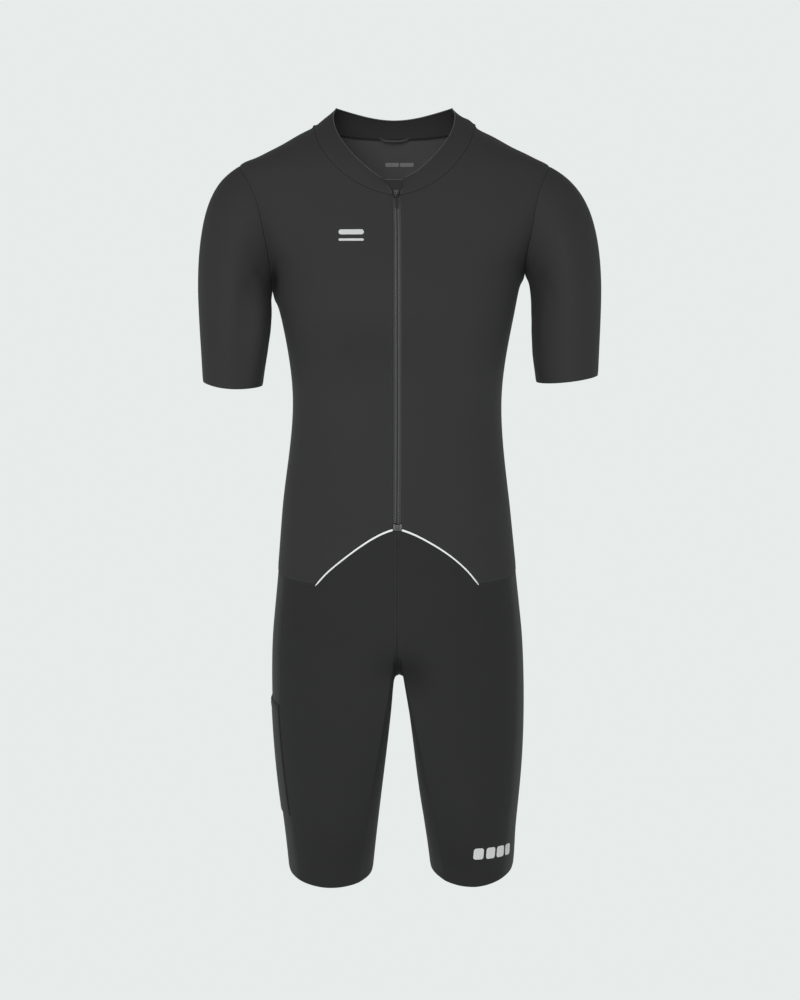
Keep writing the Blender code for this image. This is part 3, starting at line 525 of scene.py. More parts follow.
def outer_face(node):
    """(points, faces) of the outer side of one solid panel."""
    copy = solid_copy(node, "face")
    solid = bmesh.new()
    solid.from_mesh(copy.data)
    solid.normal_update()
    short = {edge for edge in solid.edges if edge.calc_length() < WALL}
    wall = {edge for edge in short if across_wall(edge, short)}
    rim = [face for face in solid.faces if any(edge in wall for edge in face.edges)]
    bmesh.ops.delete(solid, geom=rim, context="FACES")
    sides, seen = [], set()
    for first in solid.faces:
        if first in seen:
            continue
        side, waiting = [], [first]
        seen.add(first)
        while waiting:
            face = waiting.pop()
            side.append(face)
            for edge in face.edges:
                for other in edge.link_faces:
                    if other not in seen:
                        seen.add(other)
                        waiting.append(other)
        sides.append(side)
    outer = set(max(sides, key=lambda side: sum(face.calc_area() for face in side)))
    inner = [face for face in solid.faces if face not in outer]
    bmesh.ops.delete(solid, geom=inner, context="FACES")
    solid.to_mesh(copy.data)
    solid.free()
    edit(copy)
    for bend, skew in ((math.radians(40), math.radians(60)), (math.pi, math.pi)):
        bpy.ops.mesh.tris_convert_to_quads(face_threshold=bend, shape_threshold=skew)
    end_edit()
    points = places_of(copy)
    faces = [list(face.vertices) for face in copy.data.polygons]
    bpy.data.objects.remove(copy, do_unlink=True)
    return points, faces


# %% [markdown]
# Corners of the outline, such as the one between the zip and the neck, must stay corners when the
# rest is rounded. They are found by how far the outline turns there, and pinned.

# %% Join and smooth
SEAM_REACH = 0.7 * MM
SMOOTHING = 3
CORNER_TURN = math.radians(30)


def sewn(name, parts):
    """Several panels' outer faces joined at their seams and smoothed, with each face's panel kept."""
    points, faces, owner = [], [], []
    for index, node in enumerate(parts):
        own_points, own_faces = outer_face(node)
        faces += [[v + len(points) for v in face] for face in own_faces]
        owner += [index] * len(own_faces)
        points += list(own_points)
    cloth = new_mesh(name, points, faces)
    mark = cloth.data.attributes.new("panel", "INT", "FACE")
    mark.data.foreach_set("value", owner)
    shape = bmesh.new()
    shape.from_mesh(cloth.data)
    bmesh.ops.remove_doubles(shape, verts=shape.verts, dist=SEAM_REACH)
    pin = shape.verts.layers.float.get("crease_vert") or shape.verts.layers.float.new("crease_vert")
    corners = 0
    for vertex in shape.verts:
        rim = [edge for edge in vertex.link_edges if edge.is_boundary]
        if len(rim) != 2:
            continue
        a, b = (edge.other_vert(vertex).co - vertex.co for edge in rim)
        if a.angle(-b) > CORNER_TURN:
            vertex[pin] = 1.0
            corners += 1
    shape.to_mesh(cloth.data)
    shape.free()
    smoothing = {"levels": SMOOTHING, "render_levels": SMOOTHING}
    modify(cloth, "SUBSURF", boundary_smooth="PRESERVE_CORNERS", **smoothing)
    print(name, len(cloth.data.polygons), "faces,", corners, "pinned corners")
    return cloth


# %% [markdown]
# ## Folds
#
# A suit that fits this closely has hardly a crease: soft hollows at the armpits and between the
# legs, a faint ridge where the shorts' waistband lies under the jersey, and slack running down the
# sleeves and thighs. Each is placed as a soft trough or ridge along a line, seen square on
# from one side, and no two are alike.

# %% Fold tool
def fold(points, facings, side, line, width, depth):
    """Moves points out (in, for a negative depth) near a line drawn on the cloth as seen from a side.

    side is the direction that the cloth seen there faces, and line the places along the fold, each
    with the share of the depth that it has there."""
    side = Vector(side).normalized()
    across = Vector((0, 0, 1)).cross(side).normalized()
    flat = np.column_stack([points @ np.array(across), points[:, 2]])
    shown = np.clip((facings @ np.array(side) - 0.05) / 0.45, 0, 1)
    nearest = np.full(len(points), 1e9)
    share = np.zeros(len(points))
    for (a0, a1, a_share), (b0, b1, b_share) in zip(line, line[1:]):
        a, b = np.array((a0, a1)) * MM, np.array((b0, b1)) * MM
        t = np.clip((flat - a) @ (b - a) / ((b - a) @ (b - a)), 0, 1)
        away = np.linalg.norm(flat - a - t[:, None] * (b - a), axis=1)
        closer = away < nearest
        nearest = np.where(closer, away, nearest)
        share = np.where(closer, a_share + (b_share - a_share) * t, share)
    soft = np.exp(-((nearest / (width * MM)) ** 2)) * share * shown
    points += facings * (soft * depth * MM)[:, None]


def drag(points, centre, spread, shift):
    """Pulls points by a shift that fades with their distance from a centre, all in millimetres."""
    away = (points / MM - np.array(centre)) / np.array(spread)
    points += np.exp(-(away**2).sum(axis=1))[:, None] * np.array(shift) * MM


FRONT, BACK, LEFT, RIGHT = (0, -1, 0), (0, 1, 0), (1, 0, 0), (-1, 0, 0)

# How worn cloth settles. The same pulls go to every panel that meets there, so the seams stay shut.
SETTLING = (
    # centre, spread, shift
    ((-167, 10, -179), (40, 32, 45), (0, 0, -38)),
    ((167, 10, -179), (32, 30, 24), (3, 0, -17)),
    ((106, -88, -598), (17, 40, 14), (0, 0, -3.4)),
    ((-106, -88, -598), (17, 40, 14), (0, 0, -3.4)),
    ((-85, 0, -1003), (90, 90, 45), (0, 0, -3.4)),
    ((90, 0, -1003), (90, 90, 45), (0, 0, -1.7)),
    ((-140, 0, -985), (25, 60, 30), (0, 0, -4.0)),
    ((150, 0, -975), (22, 60, 30), (2.0, 0, -3.0)),
    ((15, -70, -68), (9, 30, 15), (-7.5, 0, -1.5)),
    ((-160, 0, -880), (40, 80, 130), (-4.4, 0, 0)),
    ((160, 0, -860), (40, 80, 115), (3.7, 0, 0)),
    ((20, 0, -905), (20, 80, 70), (-3.2, 0, 0)),
    ((-148, 0, -460), (30, 80, 90), (-2.6, 0, 0)),
    ((75, -95, -565), (45, 45, 45), (0, 0, 2.9)),
    ((-70, -95, -565), (40, 45, 40), (0, 0, -1.2)),
    ((-188, 5, -38), (16, 50, 30), (0, 0, -2.2)),
    ((188, 5, -36), (16, 50, 30), (0, 0, -2.0)),
    ((-132, 5, -8), (22, 50, 30), (0, 0, 1.8)),
    ((132, 5, -8), (22, 50, 30), (0, 0, 2.0)),
    ((97, 8, 8), (9, 40, 10), (1.2, 0, 3.2)),
)


def shape_cloth(piece, folds=(), pulls=()):
    """Folds a piece of cloth, gives it pulls of its own, and lets it settle."""
    points, facings = places_of(piece), facings_of(piece)
    for one in folds:
        fold(points, facings, *one)
    for one in (*pulls, *SETTLING):
        drag(points, *one)
    move_points(piece, points)


JERSEY_FOLDS = (
    # side, line of (across, height, share), width, depth
    (FRONT, ((-160, -176, 1.0), (-138, -188, 0.7), (-112, -196, 0.0)), 9, -2.2),
    (FRONT, ((-158, -196, 0.8), (-140, -214, 0.6), (-124, -236, 0.0)), 10, -1.6),
    (FRONT, ((160, -178, 1.0), (140, -186, 0.8), (108, -192, 0.0)), 10, -2.0),
    (FRONT, ((158, -202, 0.7), (146, -222, 0.5), (136, -250, 0.0)), 9, -1.3),
    (FRONT, ((-140, -480, 0.2), (-115, -488, 1.0), (-66, -508, 1.0), (-20, -524, 0.4)), 4, 0.9),
    (FRONT, ((142, -483, 0.2), (128, -489, 1.0), (66, -508, 1.0), (12, -524, 0.4)), 4, 0.9),
    (FRONT, ((-120, -420, 0.0), (-132, -450, 1.0), (-140, -486, 0.0)), 12, -1.0),
    (FRONT, ((118, -404, 0.0), (128, -436, 1.0), (136, -470, 0.0)), 11, -1.1),
    (FRONT, ((-96, -262, 0.0), (-66, -274, 1.0), (-28, -270, 0.0)), 22, -0.8),
    (FRONT, ((92, -258, 0.0), (60, -272, 1.0), (24, -268, 0.0)), 20, -0.9),
    (BACK, ((-40, -402, 0.0), (-8, -410, 1.0), (36, -400, 0.0)), 10, -1.6),
    (BACK, ((-62, -436, 0.0), (-20, -448, 0.9), (30, -446, 0.7), (60, -434, 0.0)), 12, -1.3),
    (BACK, ((-150, -190, 1.0), (-124, -212, 0.6), (-104, -240, 0.0)), 11, -1.8),
    (BACK, ((150, -192, 1.0), (122, -210, 0.7), (98, -232, 0.0)), 12, -1.9),
    (BACK, ((-6, -130, 0.0), (2, -230, 1.0), (-2, -350, 0.5), (0, -390, 0.0)), 16, -1.4),
)
print(len(JERSEY_FOLDS), "folds in the jersey")

# %% [markdown]
# ## Cutting the cloth apart
#
# Once smoothed and folded, the cloth is cut back into its panels. Each gets a map of itself in metres
# (round the body and down it) for the knit to follow, the distance from its own edge for the pressed
# line of the seam, and then its thickness, which goes inwards so that the outside keeps its place.

# %% Cut and finish a panel
CLOTH_THICKNESS = 0.75 * MM
MEETING = 1.8 * MM  # edges this near to each other are one seam
ALLOWANCE = ((0.1, 1.0), (3.0, 0.15))  # how much further out and down each row of an allowance lies
FAR = 12 * MM  # from an edge, past which it no longer matters
PRESSED = 1.3 * MM  # how far in from its edge a seam presses the cloth
RIDGE, RIDGE_WIDTH = 3.4 * MM, 1.6 * MM  # the soft ridge beyond it

# Spots of painted shade in the cloth's colour, each darkening it by its share round a centre: the
# crotch, the armpits, the hems and below the chest. A negative share is painted light, making the inner
# sleeves paler.
PAINTED_SHADE_AND_LIGHT = (
    # centre, spread in millimetres, share
    ((4, -75, -703), (28, 60, 18), 0.75),
    ((19, -75, -722), (22, 60, 20), 0.55),
    ((-160, -5, -199), (9, 50, 20), 0.6),
    ((-162.5, -20, -206), (5.2, 60, 17), 1.9),
    ((166, -5, -186), (11, 50, 20), 0.3),
    ((167, -20, -193), (5, 60, 9), 0.9),
    ((-85, -70, -975), (60, 60, 45), 0.22),
    ((70, -70, -975), (60, 60, 45), 0.38),
    ((-30, -100, -294), (85, 60, 38), 0.27),
    ((-183, -20, -270), (17, 45, 62), -0.95),
    ((178, -20, -275), (12, 45, 50), -0.25),
)


def rim_chains(obj):
    """The outline of an open piece as lists of point numbers in order."""
    shape = bmesh.new()
    shape.from_mesh(obj.data)
    after = {}
    for edge in shape.edges:
        if edge.is_boundary:
            face = edge.link_faces[0]
            for loop in face.loops:
                if loop.edge == edge:
                    after[loop.vert.index] = loop.link_loop_next.vert.index
    shape.free()
    chains = []
    while after:
        first = next(iter(after))
        chain = [first]
        while chain[-1] in after:
            chain.append(after.pop(chain[-1]))
        chains.append(chain)
    return chains


def tree_of(points):
    """A search tree of points, numbered in their order."""
    tree = KDTree(len(points))
    for k, point in enumerate(points):
        tree.insert(point, k)
    tree.balance()
    return tree


def near_tree(names):
    """A search tree of the outlines of the named panels."""
    return tree_of([point for name in names for line, _, _ in outlines[name] for point in line])


def edge_distances(obj):
    """How far each point is from the piece's outline, up to a limit."""
    points = places_of(obj)
    rim = sorted({v for chain in rim_chains(obj) for v in chain})
    tree = tree_of(points[rim])
    return np.array([min(tree.find(p)[2], FAR) for p in points])


def map_cloth(obj, axis, radius, start_side):
    """Maps a piece in metres round and along an axis, starting from one side."""
    a, b = np.array(axis) * MM
    along = (b - a) / np.linalg.norm(b - a)
    zero = np.array(start_side, float)
    zero = zero - along * (zero @ along)
    zero = zero / np.linalg.norm(zero)
    side = np.cross(along, zero)
    points = places_of(obj) - a
    turn = np.arctan2(points @ side, points @ zero)
    length = points @ along
    layer = obj.data.uv_layers.new(name="cloth")
    for face in obj.data.polygons:
        first = turn[face.vertices[0]]
        for loop in face.loop_indices:
            v = obj.data.loops[loop].vertex_index
            t = turn[v]
            t += 2 * math.pi * round((first - t) / (2 * math.pi))
            layer.data[loop].uv = (t * radius * MM, length[v])


def cut_out(cloth, index, name, material, axis, radius, start_side, **settings):
    """Takes one panel out of the sewn cloth and finishes it."""
    panel = cloth.copy()
    panel.data = cloth.data.copy()
    panel.name = panel.data.name = name
    scene.collection.objects.link(panel)
    shape = bmesh.new()
    shape.from_mesh(panel.data)
    mark = shape.faces.layers.int["panel"]
    others = [face for face in shape.faces if face[mark] != index]
    bmesh.ops.delete(shape, geom=others, context="FACES")
    shape.to_mesh(panel.data)
    shape.free()
    finish_cloth(panel, material, axis, radius, start_side, **settings)
    return panel


def outline_of(panel):
    """Each chain of the outline: its points, how the cloth faces there, and the way into the cloth."""
    points, facings = places_of(panel), facings_of(panel)
    found = []
    for chain in rim_chains(panel):
        line, out = points[chain], facings[chain]
        along = np.roll(line, -1, axis=0) - np.roll(line, 1, axis=0)
        if chain[0] == chain[-1]:
            along[0] = along[-1] = line[1] - line[-2]
        found.append((line, out, unit_rows(np.cross(out, along))))
    return found


def tuck_under(panel, neighbours, allowance):
    """Lengthens edges that meet a neighbour by a narrow allowance, which lies under the neighbour."""
    tree = near_tree(neighbours)
    shape = bmesh.new()
    shape.from_mesh(panel.data)
    facing = {v: v.normal.copy() for v in shape.verts}
    inner = {}
    rim = [e for e in shape.edges if e.is_boundary]
    rim = [e for e in rim if all(tree.find(v.co)[2] < MEETING for v in e.verts)]
    for edge in rim:
        middle = (edge.verts[0].co + edge.verts[1].co) / 2
        into = edge.link_faces[0].calc_center_median() - middle
        along = (edge.verts[1].co - edge.verts[0].co).normalized()
        into = (into - along * into.dot(along)).normalized()
        for v in edge.verts:
            inner[v] = inner.get(v, Vector()) + into
    for reach, sink in allowance:
        made = bmesh.ops.extrude_edge_only(shape, edges=rim)["geom"]
        rim = [item for item in made if isinstance(item, bmesh.types.BMEdge) and item.is_boundary]
        fresh = [item for item in made if isinstance(item, bmesh.types.BMVert)]
        source = list(inner)
        seat = tree_of([v.co for v in source])
        moved = {}
        for v in fresh:
            old = source[seat.find(v.co)[1]]
            moved[v] = (inner[old], facing[old])
        for v, (into, out) in moved.items():
            v.co += -into.normalized() * reach * MM - out * sink * MM
            inner[v], facing[v] = into, out
        for v in source:
            del inner[v]
        rim = [e for e in rim if all(v in moved for v in e.verts)]
    shape.to_mesh(panel.data)
    shape.free()


def write_map(piece, name, values):
    """Gives each point of a piece a number that its material can read."""
    piece.data.attributes.new(name, "FLOAT", "POINT").data.foreach_set("value", values)


def finish_cloth(
    panel, material, axis, radius, start_side,
    press=0.35, thick=CLOTH_THICKNESS, under=(), allowance=ALLOWANCE, reverse=None,
):
    """Presses a panel's edges, writes its maps, tucks it under its neighbours and thickens it."""
    away = edge_distances(panel)
    points, facings = places_of(panel), facings_of(panel)
    ridge = np.exp(-(((away - RIDGE) / RIDGE_WIDTH) ** 2))
    dip = -press * np.exp(-((away / PRESSED) ** 2)) + 0.25 * press * ridge
    move_points(panel, points + facings * (dip * MM)[:, None])
    outlines[panel.name] = outline_of(panel)
    write_map(panel, "edge_distance", away)
    # The spots of painted shade and light are summed into the third map.
    deep = np.zeros(len(points))
    for centre, spread, share in PAINTED_SHADE_AND_LIGHT:
        deep += share * np.exp(-(((points / MM - centre) / spread) ** 2).sum(axis=1))
    write_map(panel, "painted_shade", np.clip(deep, PAINTED_LIGHT_MOST, PAINTED_SHADE_MOST))
    if under:
        tuck_under(panel, under, allowance)
    map_cloth(panel, axis, radius, start_side)
    panel.data.materials.clear()
    panel.data.materials.append(material)
    # The inside faces take the second material, which for the jersey is painted light.
    panel.data.materials.append(reverse or material)
    areas[panel.name] = sum(face.area for face in panel.data.polygons)
    modify(panel, "SOLIDIFY", thickness=thick, offset=-1.0, use_rim=True, material_offset=1)
    shade(panel)
    area = round(areas[panel.name], 4)
    print(panel.name, triangles(panel), "triangles, cloth", area, "square metres")


outlines, areas = {}, {}

# %% [markdown]
# ## Jersey
#
# The jersey is three pieces: two fronts, open along the zip, and one back that wraps round to the
# side seams. Their lower edge is cut as an arch over the belly.

# %% Jersey
JERSEY_PANELS = {"jersey_front_left": FRONT, "jersey_front_right": FRONT, "jersey_back": BACK}
JERSEY_EDGES = tuple(f"{node}_cloth" for node in JERSEY_PANELS)
TRUNK, TRUNK_RADIUS = ((0, 0, -600), (0, 0, 0)), 135

whole = sewn("jersey", list(JERSEY_PANELS))
shape_cloth(whole, JERSEY_FOLDS)
jersey = {}
for index, (node, side) in enumerate(JERSEY_PANELS.items()):
    jersey[node] = cut_out(
        whole, index, f"{node}_cloth", jersey_knit, TRUNK, TRUNK_RADIUS, side, reverse=jersey_reverse
    )
bpy.data.objects.remove(whole, do_unlink=True)

# %% [markdown]
# ## Sleeves
#
# Each sleeve is one tube, set into the armhole and left raw at the cuff, as stretch cloth can be. The
# slack hangs as long shallow ridges down the outside of the arm, and pulls into the armpit.

# %% Sleeves
SLEEVE_FOLDS = {
    "left": (
        (FRONT, ((214, -120, 0.0), (226, -170, 1.0), (232, -250, 0.5), (236, -310, 0.0)), 11, 0.9),
        (FRONT, ((186, -196, 1.0), (200, -220, 0.6), (208, -256, 0.0)), 9, -1.6),
        (FRONT, ((204, -276, 0.0), (210, -306, 1.0), (214, -336, 0.4)), 12, 0.8),
        (FRONT, ((250, -214, 0.0), (254, -262, 1.0), (252, -306, 0.0)), 9, -0.7),
        (BACK, ((-184, -190, 1.0), (-204, -214, 0.6), (-220, -246, 0.0)), 10, -1.7),
        (BACK, ((-238, -150, 0.0), (-244, -220, 1.0), (-240, -290, 0.0)), 13, 0.9),
        (LEFT, ((-10, -130, 0.0), (-4, -210, 1.0), (-12, -290, 0.0)), 14, 0.8),
        (FRONT, ((186, -215, 0.0), (188, -250, 1.0), (192, -330, 1.0)), 11, 2.0),
    ),
    "right": (
        (
            FRONT,
            ((-212, -112, 0.0), (-218, -150, 1.0), (-214, -196, 0.3), (-212, -230, 0.0)),
            12,
            1.0,
        ),
        (FRONT, ((-180, -190, 1.0), (-196, -212, 0.7), (-206, -250, 0.0)), 9, -1.6),
        (FRONT, ((-216, -270, 0.0), (-222, -306, 0.8), (-228, -340, 0.6)), 10, 0.8),
        (FRONT, ((-246, -200, 0.0), (-250, -250, 1.0), (-246, -300, 0.0)), 9, -0.7),
        (BACK, ((182, -192, 1.0), (200, -218, 0.6), (214, -250, 0.0)), 10, -1.7),
        (BACK, ((236, -140, 0.0), (240, -210, 1.0), (234, -280, 0.0)), 12, 0.9),
        (RIGHT, ((8, -140, 0.0), (2, -220, 1.0), (10, -300, 0.0)), 14, 0.8),
        (FRONT, ((-183, -200, 0.3), (-184, -240, 1.0), (-190, -335, 1.0)), 12, 4.0),
    ),
}
SLEEVE_SETTLING = {
    "left": (
        ((177, 0, -290), (14, 60, 60), (-2.4, 0, 0)),
        ((225, 0, -340), (90, 90, 42), (0, 0, 4.8)),
    ),
    "right": (
        ((-172, 0, -252), (14, 60, 52), (4.8, 0, 0)),
        ((-262, 0, -345), (34, 80, 40), (0, 0, 7.5)),
        ((-180, 0, -345), (20, 80, 40), (0, 0, 1.3)),
    ),
}
ARMS = {"left": ((205, -4, -380), (200, -2, -60)), "right": ((-200, -4, -380), (-196, -2, -60))}
ARM_RADIUS = 52
sleeves = {}
for hand, inner_side in (("left", RIGHT), ("right", LEFT)):
    tube = sewn("sleeve", [f"sleeve_{hand}"])
    shape_cloth(tube, SLEEVE_FOLDS[hand], SLEEVE_SETTLING[hand])
    sleeves[hand] = cut_out(
        tube, 0, f"sleeve_{hand}_cloth", jersey_knit, ARMS[hand], ARM_RADIUS, inner_side,
        under=JERSEY_EDGES, reverse=jersey_reverse,
    )
    bpy.data.objects.remove(tube, do_unlink=True)

# %% [markdown]
# ## Collar
#
# The collar is a low stand-up band of doubled knit, higher at the back than at the zip.

# %% Collar
NECK, NECK_RADIUS = ((0, 0, -100), (0, 0, 40)), 85
band = sewn("band", ["collar"])
shape_cloth(band)
collar = cut_out(
    band, 0, "collar_cloth", collar_knit, NECK, NECK_RADIUS, BACK,
    press=0.3, thick=1.3 * MM, under=JERSEY_EDGES, allowance=((0.5, 0.7), (1.2, 1.3)),
)
bpy.data.objects.remove(band, do_unlink=True)

# %% [markdown]
# ## Shorts
#
# Six panels make the shorts: a front, a side and a back for each leg, with the fronts meeting at the
# centre seam and the inner legs joined at the crotch. The cloth is pulled smooth over the hips, gives
# a soft hollow round the crotch, and hangs with a little slack down each thigh.

# %% Shorts
SHORTS_FOLDS = (
    (
        FRONT,
        ((-44, -716, 0.4), (-18, -708, 1.0), (10, -707, 1.0), (34, -712, 0.7), (54, -726, 0.2)),
        12,
        -2.4,
    ),
    (FRONT, ((-40, -992, 0.6), (-90, -1000, 1.0), (-136, -984, 0.5)), 16, -2.0),
    (FRONT, ((50, -992, 0.8), (92, -1000, 1.0), (140, -984, 0.4)), 16, -2.4),
    (FRONT, ((22, -738, 1.0), (44, -750, 0.7), (66, -744, 0.0)), 9, -1.3),
    (FRONT, ((-18, -740, 1.0), (-44, -750, 0.6), (-66, -742, 0.0)), 9, -1.1),
    (FRONT, ((6, -640, 0.0), (9, -664, 1.0), (8, -684, 0.0)), 9, 1.0),
    (FRONT, ((111, -618, 0.0), (115, -648, 1.0), (118, -690, 0.6), (116, -760, 0.0)), 9, 1.1),
    (FRONT, ((-132, -630, 0.0), (-128, -672, 1.0), (-124, -712, 0.0)), 10, 0.9),
    (FRONT, ((-98, -800, 0.0), (-96, -856, 1.0), (-100, -918, 0.4), (-102, -950, 0.0)), 12, 1.0),
    (FRONT, ((84, -800, 0.0), (88, -860, 0.9), (92, -930, 0.0)), 12, -0.7),
    (FRONT, ((118, -900, 0.0), (122, -940, 0.8), (118, -975, 0.4)), 10, 0.7),
    (FRONT, ((-4, -543, 0.6), (4, -546, 1.0), (16, -543, 0.0)), 2.4, -1.1),
    (FRONT, ((3, -552, 0.8), (4, -566, 0.5), (4, -586, 0.0)), 3, -0.4),
    (BACK, ((-40, -742, 0.8), (-14, -728, 1.0), (14, -728, 1.0), (42, -744, 0.7)), 13, -2.6),
    (BACK, ((30, -780, 0.0), (52, -768, 1.0), (84, -774, 0.5), (104, -784, 0.0)), 9, -1.5),
    (BACK, ((-30, -778, 0.0), (-54, -768, 1.0), (-82, -776, 0.6), (-100, -788, 0.0)), 9, -1.6),
    (BACK, ((0, -620, 0.0), (0, -670, 1.0), (0, -716, 0.6)), 12, -2.0),
    (BACK, ((92, -850, 0.0), (96, -900, 1.0), (94, -950, 0.0)), 14, 0.9),
    (BACK, ((-88, -846, 0.0), (-92, -900, 1.0), (-90, -948, 0.0)), 14, 0.9),
)
LEGS = {"left": ((92, 5, -1000), (88, 5, -600)), "right": ((-88, 5, -1000), (-86, 5, -600))}
LEG_RADIUS = 78
SHORTS_PANELS = [
    (f"shorts_{part}_{hand}", hand, side, side_knit if part == "side" else shorts_knit)
    for hand, outer_side in (("left", LEFT), ("right", RIGHT))
    for part, side in (("front", FRONT), ("side", outer_side), ("back", BACK))
]
trunk = sewn("trunk", [panel[0] for panel in SHORTS_PANELS])
shape_cloth(trunk, SHORTS_FOLDS)
shorts = {}
for index, (node, hand, side, look) in enumerate(SHORTS_PANELS):
    shorts[node] = cut_out(
        trunk, index, f"{node}_cloth", look, LEGS[hand], LEG_RADIUS, side, under=JERSEY_EDGES
    )
bpy.data.objects.remove(trunk, do_unlink=True)

# %% [markdown]
# ## Narrow soft parts
#
# Tapes, edging and loops are too narrow to be worth cutting as panels. Each starts as a copy of its
# solid part: the sharp edges are held by a crease while subdivision rounds the rest.

# %% Softened copy
SHARP = math.radians(50)


def softened(node, name, material, levels=3, hold=1.0):
    """A rounded copy of a solid part whose sharp edges are held by a share."""
    piece = solid_copy(node, name)
    edit(piece)
    bend, skew = math.radians(25), math.radians(100)
    bpy.ops.mesh.tris_convert_to_quads(face_threshold=bend, shape_threshold=skew)
    end_edit()
    shape = bmesh.new()
    shape.from_mesh(piece.data)
    crease = shape.edges.layers.float.new("crease_edge")
    for edge in shape.edges:
        if len(edge.link_faces) == 2 and edge.calc_face_angle() > SHARP:
            edge[crease] = hold
    shape.to_mesh(piece.data)
    shape.free()
    modify(piece, "SUBSURF", levels=levels, render_levels=levels)
    piece.data.materials.clear()
    piece.data.materials.append(material)
    shade(piece)
    print(name, triangles(piece), "triangles")
    return piece


# %% Loop, edging and tapes
LOOP_WIDER, LOOP_LOWER = 1.28, 0.75

hanger = softened("hanger_loop", "hanger_loop_tape", tape_weave)
points = places_of(hanger)
middle, top = points[:, 0].mean(), points[:, 2].max()
points[:, 0] = middle + (points[:, 0] - middle) * LOOP_WIDER
points[:, 2] = top + (points[:, 2] - top) * LOOP_LOWER
move_points(hanger, points)
edging, tapes = {}, {}
for hand in ("left", "right"):
    edging[hand] = softened(f"piping_{hand}", f"piping_{hand}_film", film, levels=2, hold=0.75)
    shape_cloth(edging[hand])
for hand in ("left", "right"):
    tapes[hand] = softened(f"zip_tape_{hand}", f"zip_tape_{hand}_weave", tape_weave)

# %% [markdown]
# The guard lies behind the zip's open top. It is knitted like the collar, so it takes the collar's
# cloth and is mapped about an axis of its own.

# %% Guard
GUARD_PULLS = (
    # centre, spread, shift
    ((-2, -70, -70), (60, 60, 9), (0, 0, -2.4)),
    ((14, -70, -72), (9, 60, 12), (3.2, 0, 0)),
)
GUARD_AXIS, GUARD_RADIUS = ((0, 0, -120), (0, 0, -60)), 30

guard = softened("zip_guard", "zip_guard_cloth", collar_knit)
points = places_of(guard)
for pull in GUARD_PULLS:
    drag(points, *pull)
move_points(guard, points)
write_map(guard, "edge_distance", [FAR] * len(points))
map_cloth(guard, GUARD_AXIS, GUARD_RADIUS, FRONT)

# %% [markdown]
# Rolled edges are cords of cloth, so each is drawn as a thin round skin along a path. Their thread is
# paler than the cloth, a painted highlight along the edge. The path of the collar's roll is the part of
# its outline that no other panel meets.

# %% Rolled edges
def cord_along(name, path, outs, across, through, material, sides=8):
    """A cord along a path, with its half-width across the cloth and its half-height through it."""
    along = unit_rows(np.gradient(path, axis=0))
    side = unit_rows(np.cross(along, outs))
    up = np.cross(side, along)
    points, faces = [], []
    for k in range(sides):
        angle = 2 * math.pi * k / sides
        points.append(path + side * across * math.cos(angle) + up * through * math.sin(angle))
    points = np.stack(points, axis=1).reshape(-1, 3)
    for i in range(len(path) - 1):
        for k in range(sides):
            a, b = i * sides + k, i * sides + (k + 1) % sides
            faces.append((a, a + sides, b + sides, b))
    last = (len(path) - 1) * sides
    faces += [tuple(range(sides)), tuple(last + k for k in range(sides))[::-1]]
    piece = new_mesh(name, points, faces)
    edit(piece)
    bpy.ops.mesh.normals_make_consistent(inside=False)
    end_edit()
    piece.data.materials.append(material)
    shade(piece, 70)
    return piece


def longest_run(wanted):
    """The longest stretch of true values in a ring of them, as indices in order."""
    count = len(wanted)
    first = int(np.argmin(wanted))
    best, run = [], []
    for k in range(first, first + count + 1):
        if wanted[k % count]:
            run.append(k % count)
        else:
            best, run = max(best, run, key=len), []
    return max(best, run, key=len)


COLLAR_FOOT = -71 * MM  # the collar's front corners are sewn from here down

line, out, _ = (part[:-1] for part in outlines["collar_cloth"][0])
near = near_tree(JERSEY_EDGES)
wanted = [near.find(point)[2] > MEETING and point[2] > COLLAR_FOOT for point in line]
free = longest_run(np.array(wanted))
path = line[free] - out[free] * 0.6 * MM
collar_roll = cord_along("collar_edge_roll", path, out[free], 0.62 * MM, 0.85 * MM, rolled_edge_highlight)
length = np.linalg.norm(np.diff(path, axis=0), axis=1).sum()
print("collar roll", round(float(length), 3), "metres")

# %% [markdown]
# Between the jersey and its neighbours the flat seam shows as a fine line. A cord of thread lies in
# each of those seams, level with the pressed edges, so that the line is drawn softly and nothing
# shows through it.

# %% Seam cords
CORD_ACROSS, CORD_THROUGH = 0.85 * MM, 0.3 * MM


def seam_cords(name, neighbours, sunk=0.28 * MM, ends=0):
    """Cords of thread in the jersey's seams with its neighbours, a few points short of their ends."""
    near = near_tree(neighbours)
    made = []
    for panel in JERSEY_EDGES:
        for chain in outlines[panel]:
            line, out, _ = (part[:-1] for part in chain)
            found = [near.find(point) for point in line]
            wanted = np.array([hit[2] < MEETING for hit in found])
            if not wanted.any():
                continue
            if wanted.all():
                run = [*range(len(line)), 0, 1]
            else:
                run = longest_run(wanted)
                run = run[ends : len(run) - ends]
            middle = (line[run] + np.array([found[k][0] for k in run])) / 2
            path, outs = middle - out[run] * sunk, out[run]
            size = (CORD_ACROSS, CORD_THROUGH)
            made.append(cord_along(f"{name}_{len(made)}", path, outs, *size, seam_thread, sides=6))
    return made


SLEEVE_EDGES = tuple(piece.name for piece in sleeves.values())
SHORTS_EDGES = tuple(piece.name for piece in shorts.values())
seams = seam_cords("armhole_seam", SLEEVE_EDGES)
seams += seam_cords("neck_seam", ["collar_cloth"], sunk=0.55 * MM, ends=2)
seams += seam_cords("waist_seam", SHORTS_EDGES)
print(len(seams), "seam cords")

# %% [markdown]
# The guard behind the zip's open top has the same rolled edge: its round form catches the light, and
# its paler thread adds a painted highlight just above the slider.

# %% Guard roll
ROLL_STEPS, ROLL_INSET = 41, 0.2 * MM

